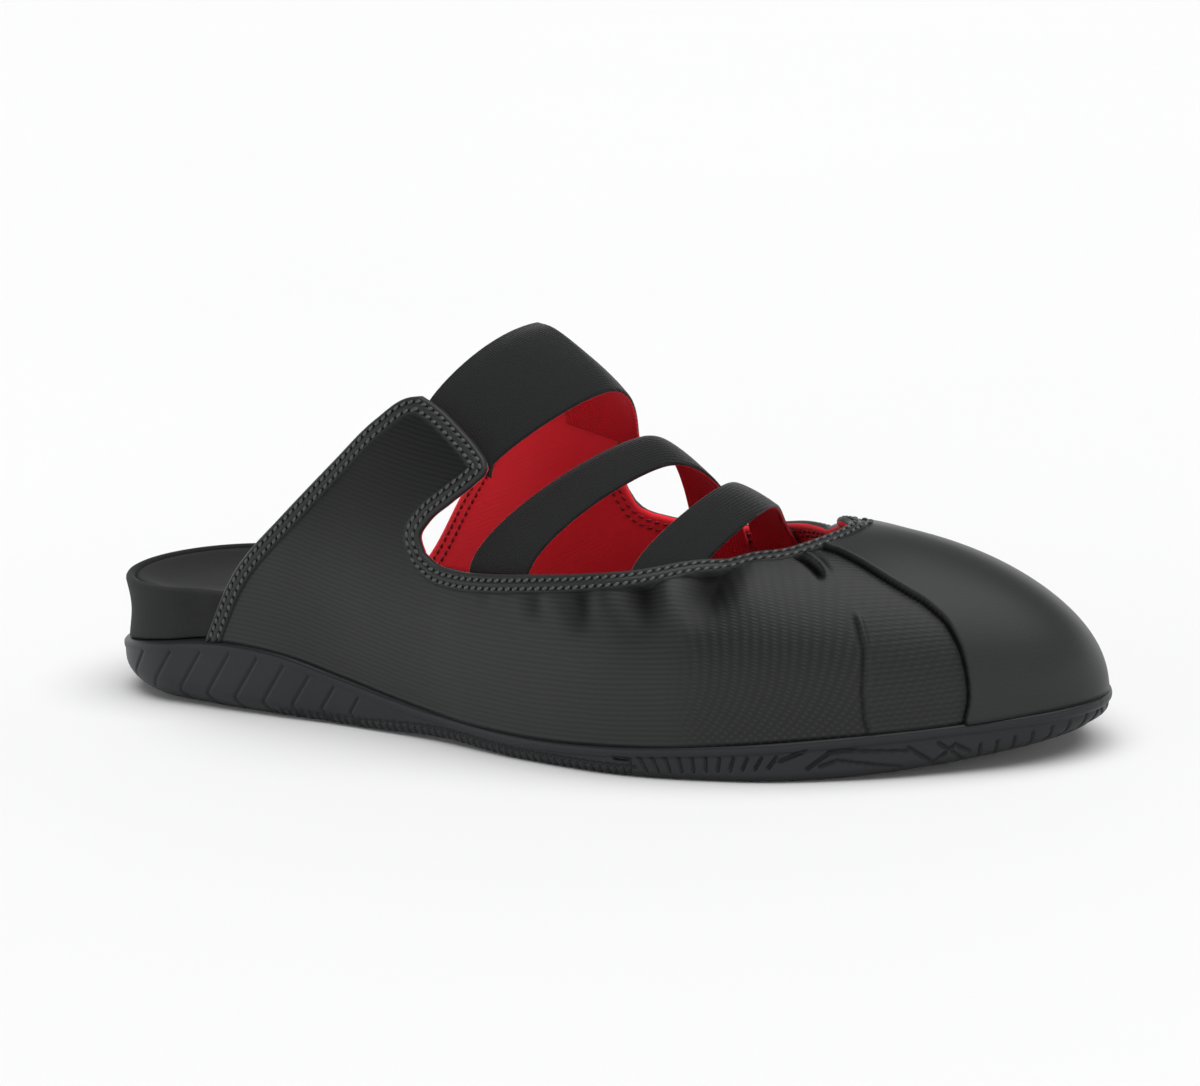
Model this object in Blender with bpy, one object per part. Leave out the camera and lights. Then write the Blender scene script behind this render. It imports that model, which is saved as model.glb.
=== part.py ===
"""Open-back strap mule for the right foot, size EU 38, standing empty on its sole.

The upper is drawn on a last, as a shoemaker does it. The last is a fan of ribs: each rib
starts on the feather line, where the upper meets the rubber, and rises over the foot to the
instep ridge. A place on the upper is a rib angle (0 at the heel, 180 at the toe tip, lateral
side first) and a girth, the length along that rib from the feather line. The sole, footbed,
upper and straps all come from the same tables, in millimetres.
"""
import math

import bpy
import numpy as np

# ---- driving sizes, in millimetres ------------------------------------------------------
MM = 0.001
SOLE_LENGTH = 250.0
WALL = 1.8                 # upper: shell fabric, interlining and lining together
CLEARANCE = 0.3            # between pieces that are glued or stitched together
FEATHER_INSET = 0.6        # the upper stands this far inside the rubber's edge
HEEL_ROUND = 25.0          # length of the rounded end of the heel
TOE_ROUND = 66.0           # length of the rounded end of the toe
TOE_SPRING = 6.5           # lift of the sole under the toe tip
TOE_SPRING_START = 190.0
HEEL_LIFT = 2.5            # lift of the sole under the back of the heel
HEEL_LIFT_END = 26.0
ARCH_RISE = 1.0
ARCH = (78.0, 130.0)
PIVOT_ALONG = 176.0        # the toe ribs fan out from this place on the instep ridge
RIDGE_SLOPE = -0.12        # slope of the vamp in front of the pivot
MIDSOLE_INSET = FEATHER_INSET + WALL + CLEARANCE
RIM_WIDTH = 2.2            # turned-in rim of the footbed
HEEL_SHOWN = 34.0          # the footbed's wall shows behind this place
HEEL_BLEND = 9.0
HEEL_FLARE = 1.5           # and stands this much further out there
WAIST_DEPTH = 0.9          # hollow in the wrapped wall of the footbed
WAIST_PROFILE = ((0.3, 0.8), (0.55, 1.0), (0.82, 0.35))  # share of the height, share of the depth
STRAP_THICKNESS = 1.3
STRAP_CLEARANCE = 0.6      # its flat facets lie inside the curved wall
TUCK_ROWS = 4              # of a strap's end behind the upper's edge
ARCH_WAY = (0.57, 0.0, 0.82)  # the middle of a strap's width stands out this way at its crest
CREST_SHAPE = {            # by how much, the power of that arch, the share of the half span over
    "instep_strap": (1.75, 2.8, 0.44, 0.06),  # which the crest is round, and the share of its
    "strap_mid": (1.2, 2.0, 0.42, 0.18),      # reach that the strap keeps the slope of the wall
    "strap_front": (0.4, 2.0, 0.42, 0.18),
}
GROOVE_DEPTH = 0.8
LIP_HEIGHT = 2.0
HEEL_BAND = 2.2            # plain rubber between a heel groove and the lip
TREAD_EDGE = 13.0          # the lugs reach this far in under the sole
TREAD_NOTCH = 1.2
LIP_STEP = 0.8             # the wall under the forefoot lip is set back this far
QUARTER_GRID = (14, 9, 9)  # columns, rows up the seam, rows up the notch
VAMP_COLUMNS = 60
STRAP_COLUMNS = 4
STRAP_ROWS = 11
HEEL_GROOVES = 11
HEEL_GROOVE_FIRST = 7.5    # walk round the sole's edge from the middle of the heel
HEEL_GROOVE_PITCH = 8.5
HEEL_GROOVE_HALF_WIDTH = 0.6
HEEL_GROOVE_SLANT = 0.55   # forward lean of a heel groove per millimetre of height
LUGS = 24
LUG_FIRST = 104.0
LUG_PITCH = 7.4
LUG_GROOVE_HALF_WIDTH = 0.7


def table(names, *rows):
    """A table with named columns and a row for each section."""
    return {name: np.array([row[i] for row in rows], float) for i, name in enumerate(names.split())}


SOLE = table(
    "along  centre  half_width  rubber_top  corner  corner_in",
    (0.0, -1.3, 24.8, 11.4, 6.2, 9.5),
    (22.0, -1.2, 25.4, 15.0, 7.0, 8.0),
    (45.0, -1.6, 27.0, 16.7, 5.0, 5.0),
    (58.0, -2.4, 27.2, 15.6, 4.0, 4.0),
    (75.0, -3.6, 27.2, 11.9, 2.6, 2.6),
    (103.0, -6.8, 29.3, 7.2, 1.6, 1.6),
    (131.0, -7.2, 36.2, 5.9, 1.6, 1.6),
    (161.0, -3.4, 43.8, 7.1, 1.8, 1.8),
    (185.0, 1.0, 44.8, 8.7, 2.0, 2.0),
    (210.0, 4.3, 41.4, 10.4, 2.4, 2.8),
    (230.0, 6.0, 37.6, 11.6, 2.8, 3.6),
    (250.0, 6.4, 34.5, 12.6, 3.2, 4.4),
)
FOOTBED = table(
    "along  rim_height  recess  dish  lean",
    (0.0, 27.6, 4.2, 2.4, 0.0),
    (55.0, 27.2, 4.2, 2.4, 0.0),
    (80.0, 25.0, 3.8, 2.0, 0.0),
    (105.0, 20.5, 3.4, 1.6, 0.0),
    (130.0, 15.6, 3.0, 1.2, 0.0),
    (155.0, 13.2, 2.6, 0.9, 0.0),
    (180.0, 13.2, 2.4, 0.8, 0.3),
    (210.0, 15.0, 2.4, 0.8, 0.7),
    (250.0, 17.6, 2.4, 0.8, 1.0),
)
RIDGE = table(
    "along  across  height",
    (30.0, 0.0, 106.0),
    (60.0, 0.0, 105.0),
    (90.0, -1.0, 101.0),
    (108.0, -1.0, 92.0),
    (120.0, 0.0, 85.0),
    (133.0, 1.0, 76.0),
    (145.0, 1.0, 67.0),
    (160.0, -1.0, 57.5),
    (176.0, -3.0, 49.2),
)
RIBS = table(
    "along  lateral_out  lateral_rise  lateral_crown  medial_out  medial_rise  medial_crown",
    (30.0, 1.0, 40.0, 14.0, 1.0, 40.0, 14.0),
    (60.0, 2.0, 42.0, 16.0, 2.0, 42.0, 16.0),
    (90.0, 4.0, 44.0, 18.0, 4.0, 44.0, 18.0),
    (115.0, 5.5, 40.0, 22.0, 4.5, 40.0, 18.0),
    (135.0, 5.5, 34.0, 27.0, 4.5, 34.0, 20.0),
    (155.0, 5.0, 31.0, 31.0, 4.0, 29.0, 23.0),
    (176.0, 3.5, 28.0, 27.0, 3.0, 25.0, 17.0),
    (200.0, 2.0, 25.0, 29.0, 2.0, 22.0, 17.0),
    (225.0, 1.2, 23.0, 31.0, 1.2, 21.0, 22.0),
    (250.0, 0.6, 22.5, 32.0, 0.6, 22.5, 32.0),
)


def smooth(x, xs, ys):
    """Cubic curve through a table's points, with each slope taken from its two neighbours."""
    step = np.diff(xs)
    chord = np.diff(ys) / step
    slope = np.concatenate([chord[:1], np.zeros(len(xs) - 2), chord[-1:]])
    slope[1:-1] = (chord[:-1] * step[1:] + chord[1:] * step[:-1]) / (step[:-1] + step[1:])
    x = np.clip(x, xs[0], xs[-1])
    i = np.clip(np.searchsorted(xs, x, side="right") - 1, 0, len(xs) - 2)
    t = (x - xs[i]) / step[i]
    start = (1 + 2 * t) * (1 - t) ** 2 * ys[i] + t * (1 - t) ** 2 * step[i] * slope[i]
    return start + t * t * (3 - 2 * t) * ys[i + 1] + t * t * (t - 1) * step[i] * slope[i + 1]


def read(rows, name, along):
    return smooth(np.asarray(along, float), rows["along"], rows[name])


# ---- sole outline ------------------------------------------------------------------------
def along_of(angle):
    """Distance from the back of the heel at a rib angle in radians."""
    return 0.5 * SOLE_LENGTH * (1 - np.cos(angle))


def angle_of(along, side):
    """Rib angle at a distance from the heel; side is -1 for lateral and +1 for medial."""
    angle = np.arccos(np.clip(1 - 2 * np.asarray(along, float) / SOLE_LENGTH, -1, 1))
    return angle if side < 0 else 2 * np.pi - angle


def outline_edge(angle):
    along = along_of(angle)
    heel = np.clip(1 - along / HEEL_ROUND, 0, 1)
    toe = np.clip(1 - (SOLE_LENGTH - along) / TOE_ROUND, 0, 1)
    rounding = np.sqrt(np.maximum(1 - heel ** 2, 0) * np.maximum(1 - toe ** 2, 0))
    half = read(SOLE, "half_width", along) * rounding
    return np.stack([along, read(SOLE, "centre", along) - np.sign(np.sin(angle)) * half], -1)


def outline(angle, inset=0.0):
    """Plan of the sole, moved inwards by an inset; heel first, then the lateral side."""
    nudge = 1e-3
    tangent = outline_edge(angle + nudge) - outline_edge(angle - nudge)
    tangent /= np.linalg.norm(tangent, axis=-1, keepdims=True)
    outward = np.stack([tangent[..., 1], -tangent[..., 0]], -1)
    return outline_edge(angle) - outward * np.asarray(inset)[..., None]


def rubber_top(along):
    return read(SOLE, "rubber_top", along)


def ground(along):
    """Height of the underside: flat at heel and ball, lifted at the arch and both ends."""
    toe = np.clip((along - TOE_SPRING_START) / (SOLE_LENGTH - TOE_SPRING_START), 0, 1)
    heel = np.clip(1 - along / HEEL_LIFT_END, 0, 1)
    arch = np.clip((along - ARCH[0]) / (ARCH[1] - ARCH[0]), 0, 1)
    return TOE_SPRING * toe ** 2 + HEEL_LIFT * heel ** 2 + ARCH_RISE * np.sin(np.pi * arch) ** 2


# ---- the last ----------------------------------------------------------------------------
def rib(angle):
    """A rib's foot in plan, its direction in plan, and the four points of its cubic curve."""
    along = along_of(angle)
    lateral = np.sin(angle) >= 0
    foot = outline(angle, FEATHER_INSET)
    base = rubber_top(foot[..., 0]) + CLEARANCE
    at = np.minimum(along, PIVOT_ALONG)
    top = read(RIDGE, "height", at)
    straight = along < PIVOT_ALONG
    head = np.stack([np.where(straight, foot[..., 0], PIVOT_ALONG), read(RIDGE, "across", at)], -1)
    reach = np.linalg.norm(head - foot, axis=-1)
    inward = (head - foot) / reach[..., None]

    def handle(name):
        return np.where(lateral, read(RIBS, "lateral_" + name, along), read(RIBS, "medial_" + name, along))

    out, rise, crown = handle("out"), handle("rise"), handle("crown")
    slope = np.where(straight, 0.0, -RIDGE_SLOPE * inward[..., 0])
    points = (
        np.stack([0 * reach, base], -1),
        np.stack([-out, base + rise], -1),
        np.stack([reach - crown, top - slope * crown], -1),
        np.stack([reach, top], -1),
    )
    return foot, inward, points


def cubic(points, t):
    t = t[..., None]
    a, b, c, d = points
    return (1 - t) ** 3 * a + 3 * t * (1 - t) ** 2 * b + 3 * t * t * (1 - t) * c + t ** 3 * d


def cubic_speed(points, t):
    t = t[..., None]
    a, b, c, d = points
    change = 3 * (1 - t) ** 2 * (b - a) + 6 * t * (1 - t) * (c - b) + 3 * t * t * (d - c)
    return np.linalg.norm(change, axis=-1)


GAUSS_PLACES, GAUSS_WEIGHTS = np.polynomial.legendre.leggauss(10)


def curve_length(points, t):
    """Length of the cubic from its start to t, by Gauss quadrature."""
    places = 0.5 * t[..., None] * (GAUSS_PLACES + 1)
    speeds = cubic_speed([p[..., None, :] for p in points], places)
    return 0.5 * t * np.sum(speeds * GAUSS_WEIGHTS, -1)


def rib_length(angle):
    angle = np.asarray(angle, float)
    return curve_length(rib(angle)[2], np.ones_like(angle))


def last_point(angle, girth):
    """The point of the last at a rib angle and a girth, found by Newton steps on the length."""
    angle, girth = np.broadcast_arrays(np.asarray(angle, float), np.asarray(girth, float))
    foot, inward, points = rib(angle)
    t = np.clip(girth / curve_length(points, np.ones_like(girth)), 0, 1)
    for _ in range(6):
        short = girth - curve_length(points, t)
        t = np.clip(t + short / np.maximum(cubic_speed(points, t), 1e-6), 0, 1)
    flat = cubic(points, t)
    return np.concatenate([foot + inward * flat[..., :1], flat[..., 1:]], -1)


def last_normal(angle, girth):
    """Outward normal of the last, from two central differences."""
    turn, climb = 2e-3, 0.2
    across = last_point(angle + turn, girth) - last_point(angle - turn, girth)
    top = rib_length(angle) - climb
    middle = np.clip(girth, climb, top)
    up = last_point(angle, middle + climb) - last_point(angle, middle - climb)
    normal = np.cross(across, up)
    return normal / np.linalg.norm(normal, axis=-1, keepdims=True)


def on_last(angle, girth, depth=0.0):
    """A point of the last moved inwards by a depth."""
    return last_point(angle, girth) - last_normal(angle, girth) * np.asarray(depth)[..., None]


# ---- patterns of the upper, drawn on the last --------------------------------------------
# Each side's quarter has a back edge, a top edge that holds the wide strap, and a notch.
QUARTER_EDGES = {
    "lateral": {
        "back": table("along girth", (36, 0), (46, 17), (60.5, 33), (75, 50), (86, 62.5), (94, 69.5), (97.5, 70.8)),
        "top": table("along girth", (97.5, 70.8), (102, 69.6), (109, 66), (116, 61.2), (118.2, 58.6)),
        "notch": table("along girth", (118.2, 58.6), (116.5, 56), (109.3, 49), (103, 43), (101, 39.5), (102.5, 36.2)),
    },
    "medial": {
        "back": table("along girth", (57, 0), (68.5, 15.5), (77.5, 31), (88, 47), (98, 59.5), (104.5, 66.5), (107.5, 68)),
        "top": table("along girth", (107.5, 68), (112, 67), (119, 63.5), (126, 59), (128.5, 56.5)),
        "notch": table("along girth", (128.5, 56.5), (127, 54), (123.8, 48.6), (122.6, 45), (122, 42.5), (122.4, 41)),
    },
}
# The throat line runs round the front of the opening, from notch to notch. The tip of the V
# is at the middle row, on the ridge of the vamp.
THROAT = table(
    "degrees  girth",
    (79.7, 36.2),
    (81.0, 34.8),
    (84.0, 34.3),
    (88.0, 35.0),
    (94.0, 36.6),
    (100.0, 38.0),
    (106.0, 40.0),
    (112.0, 44.6),
    (118.0, 46.9),
    (127.0, 47.5),
    (135.0, 51.1),
    (146.0, 57.5),
    (160.0, 65.9),
    (167.0, 69.1),
    (176.0, 72.0),
    (188.0, 73.4),
    (202.0, 71.1),
    (214.0, 66.4),
    (227.0, 58.6),
    (237.0, 51.6),
    (244.0, 45.3),
    (249.0, 39.8),
    (254.0, 34.9),
    (259.0, 32.5),
    (264.0, 33.3),
    (267.7, 34.8),
    (269.3, 35.8),
    (270.3, 37.2),
    (270.9, 39.2),
    (271.2, 41.0),
)
# A strap leaves the lateral edge, runs over its crest and meets the medial edge, and its ends
# reach a tuck further down behind the wall. The first row is its rear edge, the second its front.
STRAP_COLUMN_NAMES = (
    "lateral_along  lateral_girth  lateral_tuck  crest_along  crest_across  crest_height"
    "  medial_along  medial_girth  medial_tuck")
STRAPS = {
    "instep_strap": table(
        STRAP_COLUMN_NAMES,
        (97.6, 69.0, 8.0, 108.5, 10.4, 89.2, 111.4, 66.4, 8.0),
        (117.6, 59.8, 3.0, 134.8, -3.2, 76.3, 129.9, 57.1, 3.0),
    ),
    "strap_mid": table(
        STRAP_COLUMN_NAMES,
        (114.0, 34.6, 8.0, 139.8, 2.2, 65.7, 137.0, 33.2, 8.0),
        (131.0, 36.0, 8.0, 149.1, -3.6, 60.1, 149.3, 32.3, 8.0),
    ),
    "strap_front": table(
        STRAP_COLUMN_NAMES,
        (157.0, 40.2, 8.0, 163.1, -3.8, 56.8, 150.8, 32.6, 8.0),
        (171.5, 44.4, 8.0, 173.0, -2.2, 51.1, 163.4, 36.6, 8.0),
    ),
}


def along_edge(edge, side, count):
    """Evenly spaced places along a drawn edge, as rib angles and girths."""
    sign = -1 if side == "lateral" else 1
    corners = np.concatenate([[0], np.cumsum(np.hypot(np.diff(edge["along"]), np.diff(edge["girth"])))])
    places = np.linspace(0, corners[-1], count)
    along = smooth(places, corners, edge["along"])
    girth = smooth(places, corners, edge["girth"])
    return np.stack([angle_of(along, sign), girth], -1)


def fill(bottom, top, left, right):
    """Grid of places inside four edges, each blended from the edges facing it."""
    u = np.linspace(0, 1, len(bottom))[:, None, None]
    v = np.linspace(0, 1, len(left))[None, :, None]
    sides = (1 - u) * left[None] + u * right[None]
    ends = (1 - v) * bottom[:, None] + v * top[:, None]
    corners = (1 - u) * ((1 - v) * bottom[0] + v * top[0]) + u * ((1 - v) * bottom[-1] + v * top[-1])
    return sides + ends - corners


def quarter_places(side, columns, seam_rows, notch_rows):
    """The quarter behind the throat: from its back edge to the rib where the vamp begins."""
    edges = QUARTER_EDGES[side]
    back = along_edge(edges["back"], side, seam_rows + notch_rows - 1)
    top = along_edge(edges["top"], side, columns)
    notch = along_edge(edges["notch"], side, notch_rows)[::-1]
    seam_angle = notch[0, 0]
    seam = np.stack([np.full(seam_rows, seam_angle), np.linspace(0, notch[0, 1], seam_rows)], -1)
    bottom = np.stack([np.linspace(back[0, 0], seam_angle, columns), np.zeros(columns)], -1)
    return fill(bottom, top, back, np.concatenate([seam, notch[1:]]))


def vamp_places(start, end, columns, rows):
    """The vamp and both sides under the throat line: whole ribs up to the throat."""
    angle = np.linspace(start[0], end[0], columns)
    degrees = np.degrees(angle)
    girth = smooth(degrees, THROAT["degrees"], THROAT["girth"])
    girth[0], girth[-1] = start[1], end[1]
    share = np.linspace(0, 1, rows)
    return np.stack(np.broadcast_arrays(angle[:, None], girth[:, None] * share[None]), -1)


# ---- meshes ------------------------------------------------------------------------------
def grid_faces(shape, first=0):
    """Quads between neighbouring places of a grid."""
    index = first + np.arange(shape[0] * shape[1]).reshape(shape)
    return np.stack([index[:-1, :-1], index[1:, :-1], index[1:, 1:], index[:-1, 1:]], -1).reshape(-1, 4)


def weld(points, faces):
    """Joins points that share a place, so that neighbouring grids become one sheet."""
    keys = np.round(points, 4)
    _, first, index = np.unique(keys, axis=0, return_index=True, return_inverse=True)
    return points[first], index.reshape(-1)[faces], first


def thicken(outer, inner, faces):
    """Closed shell from a sheet and its inner twin, with a strip round each open edge."""
    edges = np.concatenate([faces[:, [k, (k + 1) % 4]] for k in range(4)])
    keys = np.sort(edges, axis=1)
    _, index, counts = np.unique(keys, axis=0, return_inverse=True, return_counts=True)
    rim = edges[counts[index.reshape(-1)] == 1]
    shift = len(outer)
    strip = np.stack([rim[:, 1], rim[:, 0], rim[:, 0] + shift, rim[:, 1] + shift], -1)
    return np.concatenate([outer, inner]), np.concatenate([faces, faces[:, ::-1] + shift, strip])


def closed_rings(rings, caps):
    """Quads between closed rings, from the first to the last, and a cap on each end.

    A ring's points run once round the sole. A cap joins each lateral point to the medial
    point that faces it, so it is level across.
    """
    count = len(rings[0])
    faces = []
    for row in range(len(rings) - 1):
        lower = row * count + np.arange(count)
        upper = lower + count
        faces.append(np.stack([lower, np.roll(lower, -1), np.roll(upper, -1), upper], -1))
    for row, up in caps:
        ring = row * count + np.arange(count)
        lateral, medial = ring[:count // 2 + 1], np.roll(ring[::-1], 1)[:count // 2 + 1]
        strip = np.stack([lateral[:-1], lateral[1:], medial[1:], medial[:-1]], -1)
        faces.append(strip if up else strip[:, ::-1])
    return np.concatenate(rings), np.concatenate(faces)


def ring(angle, inset, height):
    """Closed ring of points round the sole at an inset, each as high as its own place asks."""
    plan = outline(angle, inset)
    return np.concatenate([plan, height(plan[:, 0])[:, None]], -1)


def mirrored(angles):
    """Lateral rib angles and their medial twins, once round from the heel."""
    return np.concatenate([angles, 2 * np.pi - angles[-2:0:-1]])


def lateral_distance():
    """A fine list of rib angles and the walk round the outline from the heel to each."""
    angles = np.linspace(0, np.pi, 2001)
    step = np.linalg.norm(np.diff(outline_edge(angles), axis=0), axis=1)
    return angles, np.concatenate([[0], np.cumsum(step)])


def angles_every(spacing):
    """Rib angles at an even walk round the outline, for plain pieces."""
    angles, walk = lateral_distance()
    count = int(round(walk[-1] / spacing)) + 1
    return mirrored(np.interp(np.linspace(0, walk[-1], count), walk, angles))


# ---- outsole -----------------------------------------------------------------------------
def groove_walks():
    """Walk from the heel to each groove of the sole's side, and its half width."""
    heel = [(HEEL_GROOVE_FIRST + i * HEEL_GROOVE_PITCH, HEEL_GROOVE_HALF_WIDTH) for i in range(HEEL_GROOVES)]
    lugs = [(LUG_FIRST + i * LUG_PITCH, LUG_GROOVE_HALF_WIDTH) for i in range(LUGS)]
    return heel, lugs


def outsole():
    """Rubber sole: side with slanted heel grooves, a forefoot lip over lugs, flat tread."""
    fine_angle, walk = lateral_distance()
    heel, lugs = groove_walks()
    places = np.array([[centre - half, centre, centre + half] for centre, half in heel + lugs]).reshape(-1)
    depths = np.tile([0.0, 1.0, 0.0], len(heel) + len(lugs))
    bridge = np.linspace(heel[-1][0], lugs[0][0], 5)[1:-1]
    plain = np.concatenate([[0.0, 4.0], bridge, [walk[-1] - 3.0, walk[-1]]])
    places, depths = np.concatenate([places, plain]), np.concatenate([depths, 0 * plain])
    order = np.argsort(places)
    angle = mirrored(np.interp(places[order], walk, fine_angle))
    groove = np.concatenate([depths[order], depths[order][-2:0:-1]])
    side = np.sign(np.sin(angle))
    along = along_of(angle)
    slanted = np.clip(along / 12, 0, 1) * np.clip((92 - along) / 12, 0, 1)
    low = ground(along)

    def lip(at):
        forefoot = np.clip((at - 80) / 25, 0, 1)
        return forefoot ** 2 * (3 - 2 * forefoot)

    def corner(at):
        return read(SOLE, "corner", at)

    def band(at):
        return rubber_top(at) - LIP_HEIGHT - HEEL_BAND * (1 - lip(at))

    def groove_top(at):
        return np.maximum(band(at) - GROOVE_DEPTH, ground(at) + corner(at) + 0.3)

    def leaning(height):
        """The rib angles of a ring, moved forward with its height where the grooves slant."""
        moved = np.clip(along + HEEL_GROOVE_SLANT * (height - low) * slanted, 0, SOLE_LENGTH)
        return np.where(side >= 0, angle_of(moved, -1), angle_of(moved, 1))

    set_back = LIP_STEP * lip(along)
    cut = set_back + GROOVE_DEPTH * groove
    notch = TREAD_NOTCH * groove * lip(along)
    rings = [ring(angle, TREAD_EDGE, ground)]
    for share in (0.0, 0.12, 0.5, 1.0):
        rounding = read(SOLE, "corner_in", along) * (1 - math.sqrt(1 - (1 - share) ** 2))
        turned = leaning(low + share * corner(along))
        rings.append(ring(turned, rounding + cut, lambda at: ground(at) + np.maximum(share * corner(at), notch)))
    rings.append(ring(leaning(groove_top(along)), cut, groove_top))
    rings.append(ring(leaning(band(along)), set_back, lambda at: np.maximum(band(at), groove_top(at) + 0.3)))
    rings.append(ring(angle, 0.0, lambda at: np.maximum(rubber_top(at) - LIP_HEIGHT, groove_top(at) + 0.9)))
    rings.append(ring(angle, 0.0, rubber_top))
    return closed_rings(rings, ((0, False), (len(rings) - 1, True)))


# ---- footbed -----------------------------------------------------------------------------
def rim_height(along):
    return read(FOOTBED, "rim_height", along)


def recess_floor(along):
    return rim_height(along) - read(FOOTBED, "recess", along)


def footbed_inset(angle):
    """Inside the upper's wall, and nearer the rubber's edge behind the heel, where it shows."""
    shown = np.clip((HEEL_SHOWN - along_of(angle)) / HEEL_BLEND, 0, 1)
    return MIDSOLE_INSET - HEEL_FLARE * shown ** 2 * (3 - 2 * shown)


def rim_inset(angle):
    """The wall of the footbed leans in at the toe, as the upper does above it."""
    return footbed_inset(angle) + read(FOOTBED, "lean", along_of(angle))


def midsole():
    """Wrapped footbed: a wall with a hollow waist, a turned-in rim and a recess inside it."""
    angle = angles_every(6.5)
    edge = footbed_inset(angle)
    rim = rim_inset(angle)

    def wall(share):
        return lambda at: (1 - share) * (rubber_top(at) + CLEARANCE) + share * rim_height(at)

    tall = rim_height(along_of(angle)) - rubber_top(along_of(angle))
    waist = WAIST_DEPTH * np.clip((tall - 6) / 5, 0, 1)
    rings = [ring(angle, edge, wall(0.0))]
    for share, hollow in WAIST_PROFILE:
        rings.append(ring(angle, edge + share * (rim - edge) + hollow * waist, wall(share)))
    rings.append(ring(angle, rim + 0.5, rim_height))
    rings.append(ring(angle, rim + RIM_WIDTH, lambda at: rim_height(at) - 0.3))
    rings.append(ring(angle, rim + RIM_WIDTH, recess_floor))
    return closed_rings(rings, ((0, False), (len(rings) - 1, True)))


def insole():
    """Sock lining inside the footbed's rim, dished towards its middle."""
    angle = angles_every(7.5)
    edge = rim_inset(angle) + RIM_WIDTH + CLEARANCE

    def top(drop, dished):
        return lambda at: rim_height(at) - drop - dished * read(FOOTBED, "dish", at)

    rings = [
        ring(angle, edge, lambda at: recess_floor(at) + CLEARANCE),
        ring(angle, edge, top(0.9, 0.0)),
        ring(angle, edge + 0.9, top(0.4, 0.0)),
        ring(angle, edge + 5.0, top(0.4, 0.5)),
        ring(angle, edge + 11.0, top(0.4, 0.9)),
    ]
    return closed_rings(rings, ((0, False), (len(rings) - 1, True)))


# ---- upper and straps --------------------------------------------------------------------
def upper():
    """One hollow shell: both quarters with their tabs, and the vamp round the toe."""
    lateral = quarter_places("lateral", *QUARTER_GRID)
    medial = quarter_places("medial", *QUARTER_GRID)
    seam_row = QUARTER_GRID[1] - 1
    vamp = vamp_places(lateral[-1, seam_row], medial[-1, seam_row], VAMP_COLUMNS, QUARTER_GRID[1])
    places, faces = [], []
    for grid, turned in ((lateral, False), (vamp, False), (medial, True)):
        quads = grid_faces(grid.shape[:2], sum(len(p) for p in places))
        faces.append(quads[:, ::-1] if turned else quads)
        places.append(grid.reshape(-1, 2))
    places = np.concatenate(places)
    outer, quads, kept = weld(last_point(places[:, 0], places[:, 1]), np.concatenate(faces))
    inner = on_last(places[kept, 0], places[kept, 1], WALL)
    return thicken(outer, inner, quads)


def strap(edges, shape):
    """Elastic band just inside the upper, with its ends tucked behind the edges it joins.

    Each of its lines is straight up the wall as far as the upper's edge, then a cubic to the
    crest, another one down to the far edge, and straight down the wall again. The crest is
    arched across the strap's width.
    """
    arch, power, crest_share, climb_share = shape
    share = np.linspace(0, 1, STRAP_COLUMNS)[:, None]
    line = {name: (1 - share) * pair[0] + share * pair[1] for name, pair in edges.items()}
    depth = WALL + STRAP_CLEARANCE
    crest = np.concatenate([line["crest_along"], line["crest_across"], line["crest_height"]], -1)
    crest = crest + arch * (1 - np.abs(2 * share - 1) ** power) * np.array(ARCH_WAY)
    tucks, spans = [], []
    for name, side in (("lateral", -1), ("medial", 1)):
        angle = angle_of(line[name + "_along"], side)
        girth = line[name + "_girth"] - line[name + "_tuck"] * np.linspace(1, 0, TUCK_ROWS)
        tuck = on_last(*np.broadcast_arrays(angle, girth), depth)
        tucks.append(tuck)
        edge = tuck[:, -1]
        climb = tuck[:, -1] - tuck[:, -2]
        climb /= np.linalg.norm(climb, axis=-1, keepdims=True)
        reach = np.linalg.norm(crest - edge, axis=-1, keepdims=True)
        spans.append((edge, edge + climb_share * reach * climb, crest, reach))
    direction = spans[1][0] - spans[0][0]
    direction[:, 2] = 0
    direction /= np.linalg.norm(direction, axis=-1, keepdims=True)
    t = np.linspace(0, 1, STRAP_ROWS)[None, :, None]
    lines = []
    for (edge, first, top, reach), way in zip(spans, (-1, 1)):
        second = top + way * crest_share * np.abs(edge - top)[:, 1:2] * direction
        a, b, c, d = (point[:, None] for point in (edge, first, second, top))
        lines.append((1 - t) ** 3 * a + 3 * t * (1 - t) ** 2 * b + 3 * t * t * (1 - t) * c + t ** 3 * d)
    sheet = np.concatenate(
        [tucks[0][:, :-1], lines[0][:, :-1], lines[1][:, ::-1], tucks[1][:, -2::-1]], axis=1)
    normal = np.cross(np.gradient(sheet, axis=1), np.gradient(sheet, axis=0))
    normal /= np.linalg.norm(normal, axis=-1, keepdims=True)
    inner = sheet + STRAP_THICKNESS * normal * -np.sign(normal[0, sheet.shape[1] // 2, 2])
    return thicken(sheet.reshape(-1, 3), inner.reshape(-1, 3), grid_faces(sheet.shape[:2]))


# ---- objects -----------------------------------------------------------------------------
def material(name, color, roughness):
    finish = bpy.data.materials.new(name)
    finish.use_nodes = True
    shader = finish.node_tree.nodes["Principled BSDF"]
    shader.inputs["Base Color"].default_value = (*color, 1.0)
    shader.inputs["Roughness"].default_value = roughness
    return finish


def outward(points, faces):
    """Faces turned so that the closed shell holds a positive volume."""
    a, b, c, d = (points[faces[:, k]] for k in range(4))
    volume = np.sum(a * (np.cross(b, c) + np.cross(c, d)))
    return faces if volume > 0 else faces[:, ::-1]


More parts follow.
